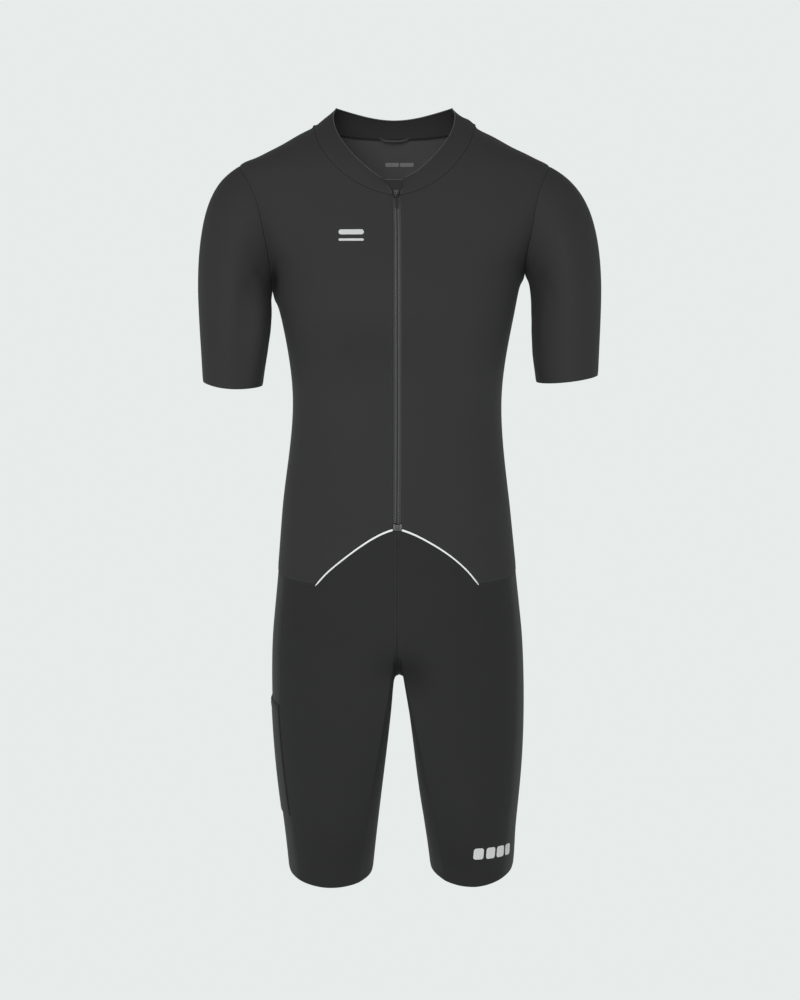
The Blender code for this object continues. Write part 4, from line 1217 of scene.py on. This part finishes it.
points = places_of(guard)
height = points[:, 2].max()
top = points[points[:, 2] > height - 1.2 * MM]
across = np.linspace(top[:, 0].min() + ROLL_INSET, top[:, 0].max() - ROLL_INSET, ROLL_STEPS)
order = np.argsort(top[:, 0])
depth = np.interp(across, top[order, 0], top[order, 1])
path = np.column_stack([across, depth, np.full(ROLL_STEPS, height - ROLL_INSET)])
outs = np.tile(np.array(FRONT, float), (ROLL_STEPS, 1))
guard_roll = cord_along("guard_edge_roll", path, outs, 0.6 * MM, 0.75 * MM, rolled_edge_highlight)
print("guard roll", triangles(guard_roll), "triangles")

# %% [markdown]
# ## Pocket
#
# A patch of the side panel's open knit, with its mouth turned down twice as a hem. It is cut and
# finished like the other panels, and then the hem's band is raised.

# %% Pocket
HEM_DEPTH, HEM_RISE = 11 * MM, 0.35 * MM
POCKET_TOP = 22 * MM  # the mouth lies within this of the pocket's highest point

patch = sewn("patch", ["thigh_pocket"])
shape_cloth(patch)
pocket = cut_out(
    patch, 0, "thigh_pocket_cloth", side_knit, LEGS["right"], LEG_RADIUS, RIGHT, press=0.8
)
bpy.data.objects.remove(patch, do_unlink=True)
line = outlines["thigh_pocket_cloth"][0][0]
mouth = line[line[:, 2] > line[:, 2].max() - POCKET_TOP]
order = np.argsort(mouth[:, 1])
points, facings = places_of(pocket), facings_of(pocket)
mouth_height = np.interp(points[:, 1], mouth[order, 1], mouth[order, 2])
below = mouth_height - points[:, 2]
band = np.clip((HEM_DEPTH - below) / (1.2 * MM), 0, 1) * np.clip(below / (1.0 * MM), 0, 1)
outer = facings @ np.array(RIGHT) > 0
points += facings * (HEM_RISE * band * outer)[:, None]
move_points(pocket, points)
print("pocket hem", round(HEM_DEPTH / MM), "mm deep")

# %% [markdown]
# ## Zip
#
# The zip is a moulded-tooth chain on two woven tapes, sewn behind the jersey's two front edges. Its
# line is read from those finished edges, so the teeth lie exactly between them.

# %% Zip line
ZIP_REACH = 12 * MM  # a front's edge along the zip stays this near the middle


def along_zip(line, inward):
    """Which points of a front's outline lie along the zip."""
    return (np.abs(inward[:, 0]) > 0.9) & (np.abs(line[:, 0]) < ZIP_REACH)


def zip_edge(hand):
    """A front panel's edge along the zip, upwards."""
    line, _, inward = outlines[f"jersey_front_{hand}_cloth"][0]
    edge = line[along_zip(line, inward)]
    return edge[np.argsort(edge[:, 2])]


zip_edges = [zip_edge("right"), zip_edge("left")]
ZIP_LOW = max(edge[0, 2] for edge in zip_edges)
ZIP_TOP = min(edge[-1, 2] for edge in zip_edges)


def zip_middle(z):
    """The middle of the zip at a height."""
    x, y = (np.mean([np.interp(z, edge[:, 2], edge[:, k]) for edge in zip_edges]) for k in (0, 1))
    return np.array([x, y, z])


def zip_at(z):
    """(place, across, up, out) of the zip's middle at a height."""
    low, high = max(ZIP_LOW, z - 4 * MM), min(ZIP_TOP, z + 4 * MM)
    up = zip_middle(high) - zip_middle(low)
    up /= np.linalg.norm(up)
    out = np.cross((1.0, 0.0, 0.0), up)
    out /= np.linalg.norm(out)
    return zip_middle(min(max(z, ZIP_LOW), ZIP_TOP)), np.cross(up, out), up, out


print("zip from", round(ZIP_LOW, 4), "to", round(ZIP_TOP, 4), "metres")

# %% [markdown]
# One tooth is modelled and then copied up both sides, half a pitch apart, so that the two rows mesh.
# It is a small block with a head that reaches past the middle.

# %% One tooth, many teeth
TOOTH_PITCH = 2.17 * MM
TOOTH_SIDE, TOOTH_DEPTH = 1.95 * MM, 1.5 * MM  # from the zip's middle, and behind the panels' faces


def placed(points, place, across, up, out):
    """Points drawn at the origin (X across, Z up, -Y out) as they lie when set in a place."""
    return points @ np.array([across, -np.asarray(out), up]) + place


def repeated(name, template, frames, material):
    """Copies of a template, one in each frame of (place, across, up, out), joined as one piece."""
    points = places_of(template)
    faces = [tuple(face.vertices) for face in template.data.polygons]
    spread = [placed(points, *one) for one in frames]
    starts = range(0, len(frames) * len(points), len(points))
    copies = [tuple(v + start for v in face) for start in starts for face in faces]
    piece = new_mesh(name, np.vstack(spread), copies)
    piece.data.materials.append(material)
    shade(piece, 40)
    print(name, len(frames), "copies,", triangles(piece), "triangles")
    return piece


def new_shape(kind, **settings):
    """Adds a primitive by itself and opens it in edit mode, with all of it selected."""
    bpy.ops.object.select_all(action="DESELECT")
    getattr(bpy.ops.mesh, f"primitive_{kind}_add")(**settings)
    made = bpy.context.object
    edit(made)
    return made


def select_faces(obj, wanted):
    """In edit mode, selects just the faces whose normal passes a test."""
    bpy.ops.mesh.select_mode(type="FACE")
    shape = bmesh.from_edit_mesh(obj.data)
    for face in shape.faces:
        face.select_set(wanted(face.normal))
    bmesh.update_edit_mesh(obj.data)


tooth = new_shape("cube", size=1)
bpy.ops.transform.resize(value=(2.3 * MM, 1.25 * MM, 1.2 * MM))
bpy.ops.mesh.bevel(offset=0.28 * MM, segments=1, affect="EDGES")
select_faces(tooth, lambda normal: normal.x < -0.95)
bpy.ops.mesh.extrude_region_move(TRANSFORM_OT_translate={"value": (-0.55 * MM, 0, 0)})
bpy.ops.transform.resize(value=(1, 0.8, 0.55))
end_edit()

chain_low, chain_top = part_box("zip_chain")
frames = []
for sign, first in ((1, 0), (-1, TOOTH_PITCH / 2)):
    z = chain_low.z - 2.6 * MM + first
    while z < chain_top.z - 0.6 * MM:
        place, across, up, out = zip_at(z)
        place = place + across * sign * TOOTH_SIDE - out * TOOTH_DEPTH
        frames.append((place, across * sign, up * sign, out))
        z += TOOTH_PITCH
teeth = repeated("zip_teeth", tooth, frames, tooth_plastic)
bpy.data.objects.remove(tooth, do_unlink=True)

# %% [markdown]
# A cord of thread lies behind each row of teeth, as on a real chain, and fills the gaps between them.

# %% Cords behind the teeth
CORD_SIDE, CORD_DEPTH = 1.55 * MM, 2.75 * MM

spots = [zip_at(z) for z in np.linspace(chain_low.z - 3.4 * MM, chain_top.z, 120)]
outs = np.array([out for _, _, _, out in spots])
cords = []
for hand, sign in (("right", -1), ("left", 1)):
    path = np.array(
        [place + across * sign * CORD_SIDE - out * CORD_DEPTH for place, across, _, out in spots]
    )
    size = (1.5 * MM, 0.55 * MM)
    cords.append(cord_along(f"zip_cord_{hand}", path, outs, *size, seam_thread, sides=6))
print("two cords behind the teeth")

# %% [markdown]
# ## Slider and pull tab
#
# The slider is cast: a shield-shaped front plate and a smaller back plate on a short neck, with a bail
# over the front that carries the pull tab. It is drawn square at the origin and then set on the zip,
# leaning with it.

# %% Block tool
def block(name, size, place, bevel, taper=None):
    """A box with rounded edges, in millimetres. taper scales its lower end across."""
    made = new_shape("cube", size=1)
    made.name = made.data.name = name
    bpy.ops.transform.resize(value=tuple(length * MM for length in size))
    if taper:
        select_faces(made, lambda normal: normal.z < -0.9)
        bpy.ops.transform.resize(value=(taper, 1, 1))
    bpy.ops.mesh.select_all(action="SELECT")
    bpy.ops.mesh.bevel(offset=bevel * MM, segments=3, affect="EDGES")
    bpy.ops.transform.translate(value=tuple(length * MM for length in place))
    end_edit()
    return made


def joined(name, parts, material):
    """The parts as one piece of one material."""
    pick(parts[0])
    for part in parts[1:]:
        part.select_set(True)
    if len(parts) > 1:
        bpy.ops.object.join()
    made = bpy.context.object
    made.name = made.data.name = name
    made.data.materials.clear()
    made.data.materials.append(material)
    shade(made, 40)
    return made


def set_on(piece, place, across, up, out):
    """Moves a piece drawn at the origin to its place."""
    move_points(piece, placed(places_of(piece), place, across, up, out))


def middle_of(spread):
    return (spread.max() + spread.min()) / 2


# %% Slider
SLIDER_BELOW = 6 * MM  # its middle under the zip's top
SLIDER_DEPTH = 4.4 * MM  # its front plate's middle behind the solid slider's face
WELD = 0.005 * MM  # points nearer than this become one

_, across, up, out = zip_at(ZIP_TOP - SLIDER_BELOW)
solid_places = places_of(frame["nodes"]["zip_slider"])
centre = across * middle_of(solid_places @ across) + up * middle_of(solid_places @ up)
centre = centre + out * ((solid_places @ out).max() - SLIDER_DEPTH)
parts = [
    block("front_plate", (6.4, 2.0, 7.2), (0, 0.1, 0), 0.55, taper=0.78),
    block("neck", (2.4, 2.6, 5.4), (0, 2.4, 0.6), 0.3),
    block("back_plate", (7.0, 1.0, 7.6), (0, 4.1, 0), 0.35, taper=0.8),
    block("rib_left", (0.7, 0.5, 5.6), (-2.5, -1.0, 0.3), 0.2),
    block("rib_right", (0.7, 0.5, 5.6), (2.5, -1.0, 0.3), 0.2),
]
slider = joined("zip_slider_body", parts, slider_metal)
set_on(slider, centre, across, up, out)

# %% [markdown]
# The bail is a half ring of round wire, spun from a circle. Its ends are pulled level with the plate.

# %% Bail
bail = new_shape("circle", vertices=10, radius=0.62 * MM)
bpy.ops.transform.rotate(value=math.pi / 2, orient_axis="X", center_override=(0, 0, 0))
bpy.ops.transform.translate(value=(0, 0, 3.0 * MM))
bpy.ops.mesh.spin(steps=14, angle=math.pi, center=(0, 0, 0), axis=(1, 0, 0))
bpy.ops.mesh.select_all(action="SELECT")
bpy.ops.mesh.fill_holes(sides=12)
end_edit()
points = places_of(bail)
points[:, 1] = -np.abs(points[:, 1])
move_points(bail, points + (0, -0.7 * MM, 0))
edit(bail)
bpy.ops.mesh.remove_doubles(threshold=WELD)
bpy.ops.mesh.normals_make_consistent(inside=False)
end_edit()
bail = joined("zip_slider_bail", [bail], worn_metal)
set_on(bail, centre, across, up, out)
print("slider", triangles(slider), "and bail", triangles(bail), "triangles")

# %% [markdown]
# The pull tab hangs from the bail by an oval ring and swings on it, so it is a piece of its own that
# rides on its own body. Its plate has three raised bars to grip.

# %% Pull tab
GRIP_HEIGHTS = (-17.2, -18.7, -20.2)  # of the three bars, in millimetres

ring = new_shape(
    "torus", major_radius=1.75 * MM, minor_radius=0.42 * MM, major_segments=22, minor_segments=8
)
bpy.ops.transform.rotate(value=math.pi / 2, orient_axis="X", center_override=(0, 0, 0))
bpy.ops.transform.resize(value=(1, 1, 1.45), center_override=(0, 0, 0))
bpy.ops.transform.translate(value=(0, 0, -2.55 * MM))
end_edit()
parts = [
    ring,
    block("tab_neck", (2.4, 0.9, 2.0), (0, 0, -5.7), 0.25),
    block("tab_plate", (4.6, 0.95, 16.4), (0, 0, -14.2), 0.35, taper=0.86),
]
parts += [block("tab_bar", (3.0, 1.4, 0.6), (0, 0, z), 0.2) for z in GRIP_HEIGHTS]
tab = joined("zip_pull_tab_body", parts, lacquer)
hinge = np.array(frame["joints"][0]["pos_m"])
set_on(tab, hinge, across, up, out)
print("pull tab", triangles(tab), "triangles, swings about", hinge)

# %% [markdown]
# At the bottom the chain ends in a small pale box, which carries the pin of the other side. Its face
# shows a shallow step where the two halves meet.

# %% Bottom box
low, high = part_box("zip_bottom_box")
centre = np.array((low + high) / 2)
_, across, up, out = zip_at(ZIP_LOW + 5 * MM)
centre = centre + across * 1.0 * MM - up * 3.6 * MM + out * 0.5 * MM
parts = [
    block("box_left", (3.4, 2.3, 8.4), (4.1, 0, 0), 0.5),
    block("box_right", (3.4, 2.3, 8.4), (-4.1, 0, 0), 0.5),
    block("box_foot", (10.6, 1.9, 1.5), (0, 0.1, -3.3), 0.4),
]
bottom_box = joined("zip_bottom_box_body", parts, box_metal)
parts = [block("box_middle", (5.2, 1.2, 7.4), (0, 0.5, -0.1), 0.3)]
pin = joined("zip_box_pin", parts, slider_metal)
for piece in (bottom_box, pin):
    set_on(piece, centre, across, up, out)
print("bottom box", triangles(bottom_box), "triangles")

# %% [markdown]
# ## Stitches
#
# The seams are sewn flat, with a row of stitches on each side of every join, in thread as dark as the
# cloth. One stitch is modelled: a short round stroke whose ends dive into the cloth. It is then copied
# along each outline wherever another panel meets it, and along the zip.

# %% One stitch
STITCH_PITCH = 2.7 * MM
STITCH_IN = 1.9 * MM  # from the panel's edge
STITCH_LIFT = 0.12 * MM  # of a row over the panel's outline
SEAT_LIFT = 0.1 * MM  # of a stitch over the cloth that it is set on
ROW_TURN = 0.87  # cosine of the most that a row turns from one point to the next

stitch = new_shape("cylinder", vertices=6, radius=0.2 * MM, depth=0.9 * MM, end_fill_type="NGON")
for end in (1, -1):
    select_faces(stitch, lambda normal: normal.z * end > 0.9)
    dive = (0, 0.16 * MM, end * 0.5 * MM)
    bpy.ops.mesh.extrude_region_move(TRANSFORM_OT_translate={"value": dive})
    bpy.ops.transform.resize(value=(0.5, 0.5, 0.5))
end_edit()
print("one stitch,", triangles(stitch), "triangles")


# %% Stitch rows
def runs_of(wanted, line):
    """The stretches of an outline that are wanted and don't turn a corner, as index lists."""
    count = len(line)
    along = unit_rows(np.roll(line, -1, axis=0) - line)
    turns = np.einsum("ij,ij->i", along, np.roll(along, 1, axis=0)) < ROW_TURN
    good = wanted & ~turns
    first = int(np.argmin(good))
    runs, run = [], []
    for k in range(first, first + count + 1):
        if good[k % count] and len(run) < count:
            run.append(k % count)
            continue
        if len(run) > 3:
            runs.append(run)
        run = []
    return runs


def row_frames(line, out, inward, offset=STITCH_IN, pitch=STITCH_PITCH, ends=1.5 * MM):
    """Frames for stitches along one stretch, offset into the cloth."""
    path = line + inward * offset + out * STITCH_LIFT
    reach = np.concatenate([[0], np.cumsum(np.linalg.norm(np.diff(path, axis=0), axis=1))])
    if reach[-1] < 2 * ends + pitch:
        return []
    count = max(2, int((reach[-1] - 2 * ends) / pitch))
    marks = np.linspace(ends, reach[-1] - ends, count)
    where, facing = (
        np.column_stack([np.interp(marks, reach, part[:, k]) for k in range(3)])
        for part in (path, out)
    )
    along = np.gradient(where, axis=0)
    frames = []
    for place, direction, up in zip(where, along, facing):
        direction = direction / np.linalg.norm(direction)
        side = np.cross(direction, up)
        side /= np.linalg.norm(side)
        frames.append((place, side, direction, np.cross(side, direction)))
    return frames


def seated(frames, cloth):
    """The frames set on the cloth's own face, without those that find no face turned their way."""
    skin = BVHTree.FromObject(cloth, bpy.context.evaluated_depsgraph_get())
    kept = []
    for place, _, direction, up in frames:
        hit, facing, _, _ = skin.find_nearest(Vector(place + up * 0.6 * MM))
        facing = np.array(facing)
        if facing @ up < 0.5:
            continue
        direction = direction - facing * (direction @ facing)
        direction /= np.linalg.norm(direction)
        place = np.array(hit) + facing * SEAT_LIFT
        kept.append((place, np.cross(direction, facing), direction, facing))
    return kept


def seam_frames(names, others):
    """Frames along every seam that the named panels share with each other or with the others."""
    found = []
    for name in names:
        near = near_tree([other for other in (*names, *others) if other != name])
        for chain in outlines[name]:
            line, out, inward = (part[:-1] for part in chain)
            wanted = np.array([near.find(point)[2] < MEETING for point in line])
            if "jersey_front" in name:
                wanted |= along_zip(line, inward)
            for run in runs_of(wanted, line):
                row = row_frames(line[run], out[run], inward[run])
                found += seated(row, bpy.data.objects[name])
    return found


COLLAR_EDGE = ("collar_cloth",)
SEWN = (
    # name, panels, the panels that they meet
    ("jersey_stitches", JERSEY_EDGES, (*SLEEVE_EDGES, *COLLAR_EDGE, *SHORTS_EDGES)),
    ("sleeve_stitches", SLEEVE_EDGES, JERSEY_EDGES),
    ("collar_stitches", COLLAR_EDGE, JERSEY_EDGES),
    ("shorts_stitches", SHORTS_EDGES, JERSEY_EDGES),
)
stitching = [
    repeated(name, stitch, seam_frames(panels, others), thread) for name, panels, others in SEWN
]

# %% [markdown]
# The pocket is sewn on at its sides and bottom, and its hem is held by two rows.

# %% Pocket stitches
POCKET_PITCH = 2.2 * MM
HEM_ROWS = (HEM_DEPTH - 1.4 * MM, HEM_DEPTH - 3.4 * MM)  # below the mouth

line, out, inward = (part[:-1] for part in outlines["thigh_pocket_cloth"][0])
mouth = inward[:, 2] < -0.8
frames = []
for run in runs_of(~mouth, line):
    stretch = line[run], out[run], inward[run]
    frames += row_frames(*stretch, offset=1.6 * MM, pitch=POCKET_PITCH)
for run in runs_of(mouth, line):
    stretch = line[run], out[run], inward[run]
    for offset in HEM_ROWS:
        row = row_frames(*stretch, offset=offset, pitch=POCKET_PITCH, ends=3 * MM)
        frames += seated(row, pocket)
stitching.append(repeated("pocket_stitches", stitch, frames, thread))

# %% [markdown]
# ## Prints
#
# A suit like this carries a small print on the chest, a size mark inside the neck and a reflective
# mark on the leg. Here they are plain shapes in the same places. Each is a rounded bar, drawn flat and
# then laid on the finished cloth by casting its points at it.

# %% Laid print
PRINT_LIFT, PRINT_THICKNESS = 0.12 * MM, 0.1 * MM


def laid_bar(name, cloths, start, size, corner, toward, material):
    """A rounded bar laid on the cloth that its points meet when cast from the start.

    The start, the size and the corner's radius are in millimetres.
    """
    bpy.ops.object.select_all(action="DESELECT")
    bpy.ops.mesh.primitive_grid_add(x_subdivisions=28, y_subdivisions=8, size=1)
    bar = bpy.context.object
    bar.name = bar.data.name = name
    flat = places_of(bar) * 2
    half_length, half_height = size[0] / 2, size[1] / 2
    past = np.maximum(0, np.abs(flat[:, 0]) * half_length - (half_length - corner))
    height = half_height - corner + np.sqrt(np.maximum(0, corner**2 - past**2))
    towards = Vector(toward).normalized()
    across = Vector((0, 0, 1)).cross(towards).normalized()
    depsgraph = bpy.context.evaluated_depsgraph_get()
    trees = [BVHTree.FromObject(cloth, depsgraph) for cloth in cloths]
    points = []
    for (u, v, _), h in zip(flat, height):
        beside = across * (u * half_length * MM) + Vector((0, 0, v * h * MM))
        origin = Vector(start) * MM + beside
        hits = [tree.ray_cast(origin, towards) for tree in trees]
        hit, facing, _, _ = min((found for found in hits if found[0]), key=lambda found: found[3])
        if facing.dot(towards) > 0:
            facing = -facing
        points.append(hit + facing * PRINT_LIFT)
    move_points(bar, [tuple(point) for point in points])
    edit(bar)
    bpy.ops.mesh.remove_doubles(threshold=WELD)
    end_edit()
    if np.mean(facings_of(bar), axis=0) @ np.array(towards) > 0:
        edit(bar)
        bpy.ops.mesh.flip_normals()
        end_edit()
    modify(bar, "SOLIDIFY", thickness=PRINT_THICKNESS, offset=-1.0, use_rim=True)
    bar.data.materials.append(material)
    shade(bar)
    return bar


PRINTS = (
    # name, cloth, start, size, corner, ink
    ("chest_print", "jersey_front_right", (-59.5, -200, -141.5), (33, 6.5), 3.2, white_ink),
    ("chest_print_line", "jersey_front_right", (-59.5, -200, -151.5), (33, 3.0), 1.4, white_ink),
    ("size_mark_left", "jersey_back", (12.6, 0, -44.6), (18.5, 5.2), 1.0, grey_ink),
    ("size_mark_right", "jersey_back", (-7.4, 0, -44.6), (18.5, 5.2), 1.0, grey_ink),
)
prints = [
    laid_bar(name, [jersey[cloth]], start, size, corner, BACK, ink)
    for name, cloth, start, size, corner, ink in PRINTS
]

# %% [markdown]
# The reflective mark is a row of four short bars on the outer side of the left leg, above the hem.

# %% Marks at the leg's hem
OUTER_LEG = (188, -110)  # in front of the left leg, off to its outer side
LEG_CAST = (-0.64, 0.77, 0)
MARK_LEVEL, MARK_HEIGHT = -960, 15
MARKS = ((-29, 12), (-13, 13), (3, 13), (18, 11))  # each one's middle along the hem, and length

leg_cloths = [shorts["shorts_front_left"], shorts["shorts_side_left"]]
for number, (along, length) in enumerate(MARKS):
    start = (OUTER_LEG[0] + along * LEG_CAST[1], OUTER_LEG[1] - along * LEG_CAST[0], MARK_LEVEL)
    size = (length, MARK_HEIGHT)
    mark = laid_bar(f"hem_mark_{number}", leg_cloths, start, size, 3.0, LEG_CAST, white_ink)
    prints.append(mark)
print(len(prints), "prints")

# %% [markdown]
# ## Fitting the pieces to the body
#
# Every piece rides on the solid body that it belongs to, and stands for the solid part of the same
# name, which is hidden.

# %% Ride and replace
SHORTS_CUTS = {"front": (0.26, 0.49), "side": (0.10, 0.425), "back": (0.265, 0.455)}
CLOTHS = {
    # node: (piece, slot, flat width and length in metres)
    "jersey_front_left": (jersey["jersey_front_left"], "jersey_cloth", (0.225, 0.64)),
    "jersey_front_right": (jersey["jersey_front_right"], "jersey_cloth", (0.225, 0.64)),
    "jersey_back": (jersey["jersey_back"], "jersey_cloth", (0.465, 0.63)),
    "sleeve_left": (sleeves["left"], "jersey_cloth", (0.335, 0.325)),
    "sleeve_right": (sleeves["right"], "jersey_cloth", (0.335, 0.325)),
    "collar": (collar, "collar_cloth", (0.575, 0.06)),
    "thigh_pocket": (pocket, "side_cloth", (0.095, 0.157)),
}
for node, piece in shorts.items():
    slot = "side_cloth" if "side" in node else "shorts_cloth"
    CLOTHS[node] = (piece, slot, SHORTS_CUTS[node.split("_")[1]])
for node, (piece, slot, flat) in CLOTHS.items():
    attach(piece, "suit")
    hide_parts(node)
print(len(CLOTHS), "cloth pieces declared")

# %% Trims
TRIMS = {
    # node: (pieces, slot)
    "zip_tape_left": ([tapes["left"]], "zip_tape_cloth"),
    "zip_tape_right": ([tapes["right"]], "zip_tape_cloth"),
    "zip_chain": ([teeth, *cords], "zip_teeth"),
    "zip_guard": ([guard, guard_roll], "collar_cloth"),
    "zip_slider": ([slider, bail], "zip_slider_metal"),
    "zip_bottom_box": ([bottom_box, pin], "zip_teeth"),
    "piping_left": ([edging["left"]], "reflective_edging"),
    "piping_right": ([edging["right"]], "reflective_edging"),
    "hanger_loop": ([hanger], "zip_tape_cloth"),
}
for node, (pieces, slot) in TRIMS.items():
    for piece in pieces:
        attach(piece, "suit")
        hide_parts(node)
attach(tab, "pull_tab")
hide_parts("zip_pull_tab")
for piece in (*stitching, *seams, collar_roll):
    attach(piece, "suit")
for piece in prints:
    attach(piece, "suit")
bpy.data.objects.remove(stitch, do_unlink=True)
print(len(TRIMS) + 1, "trims fitted")

# %% Update
bpy.context.view_layer.update()
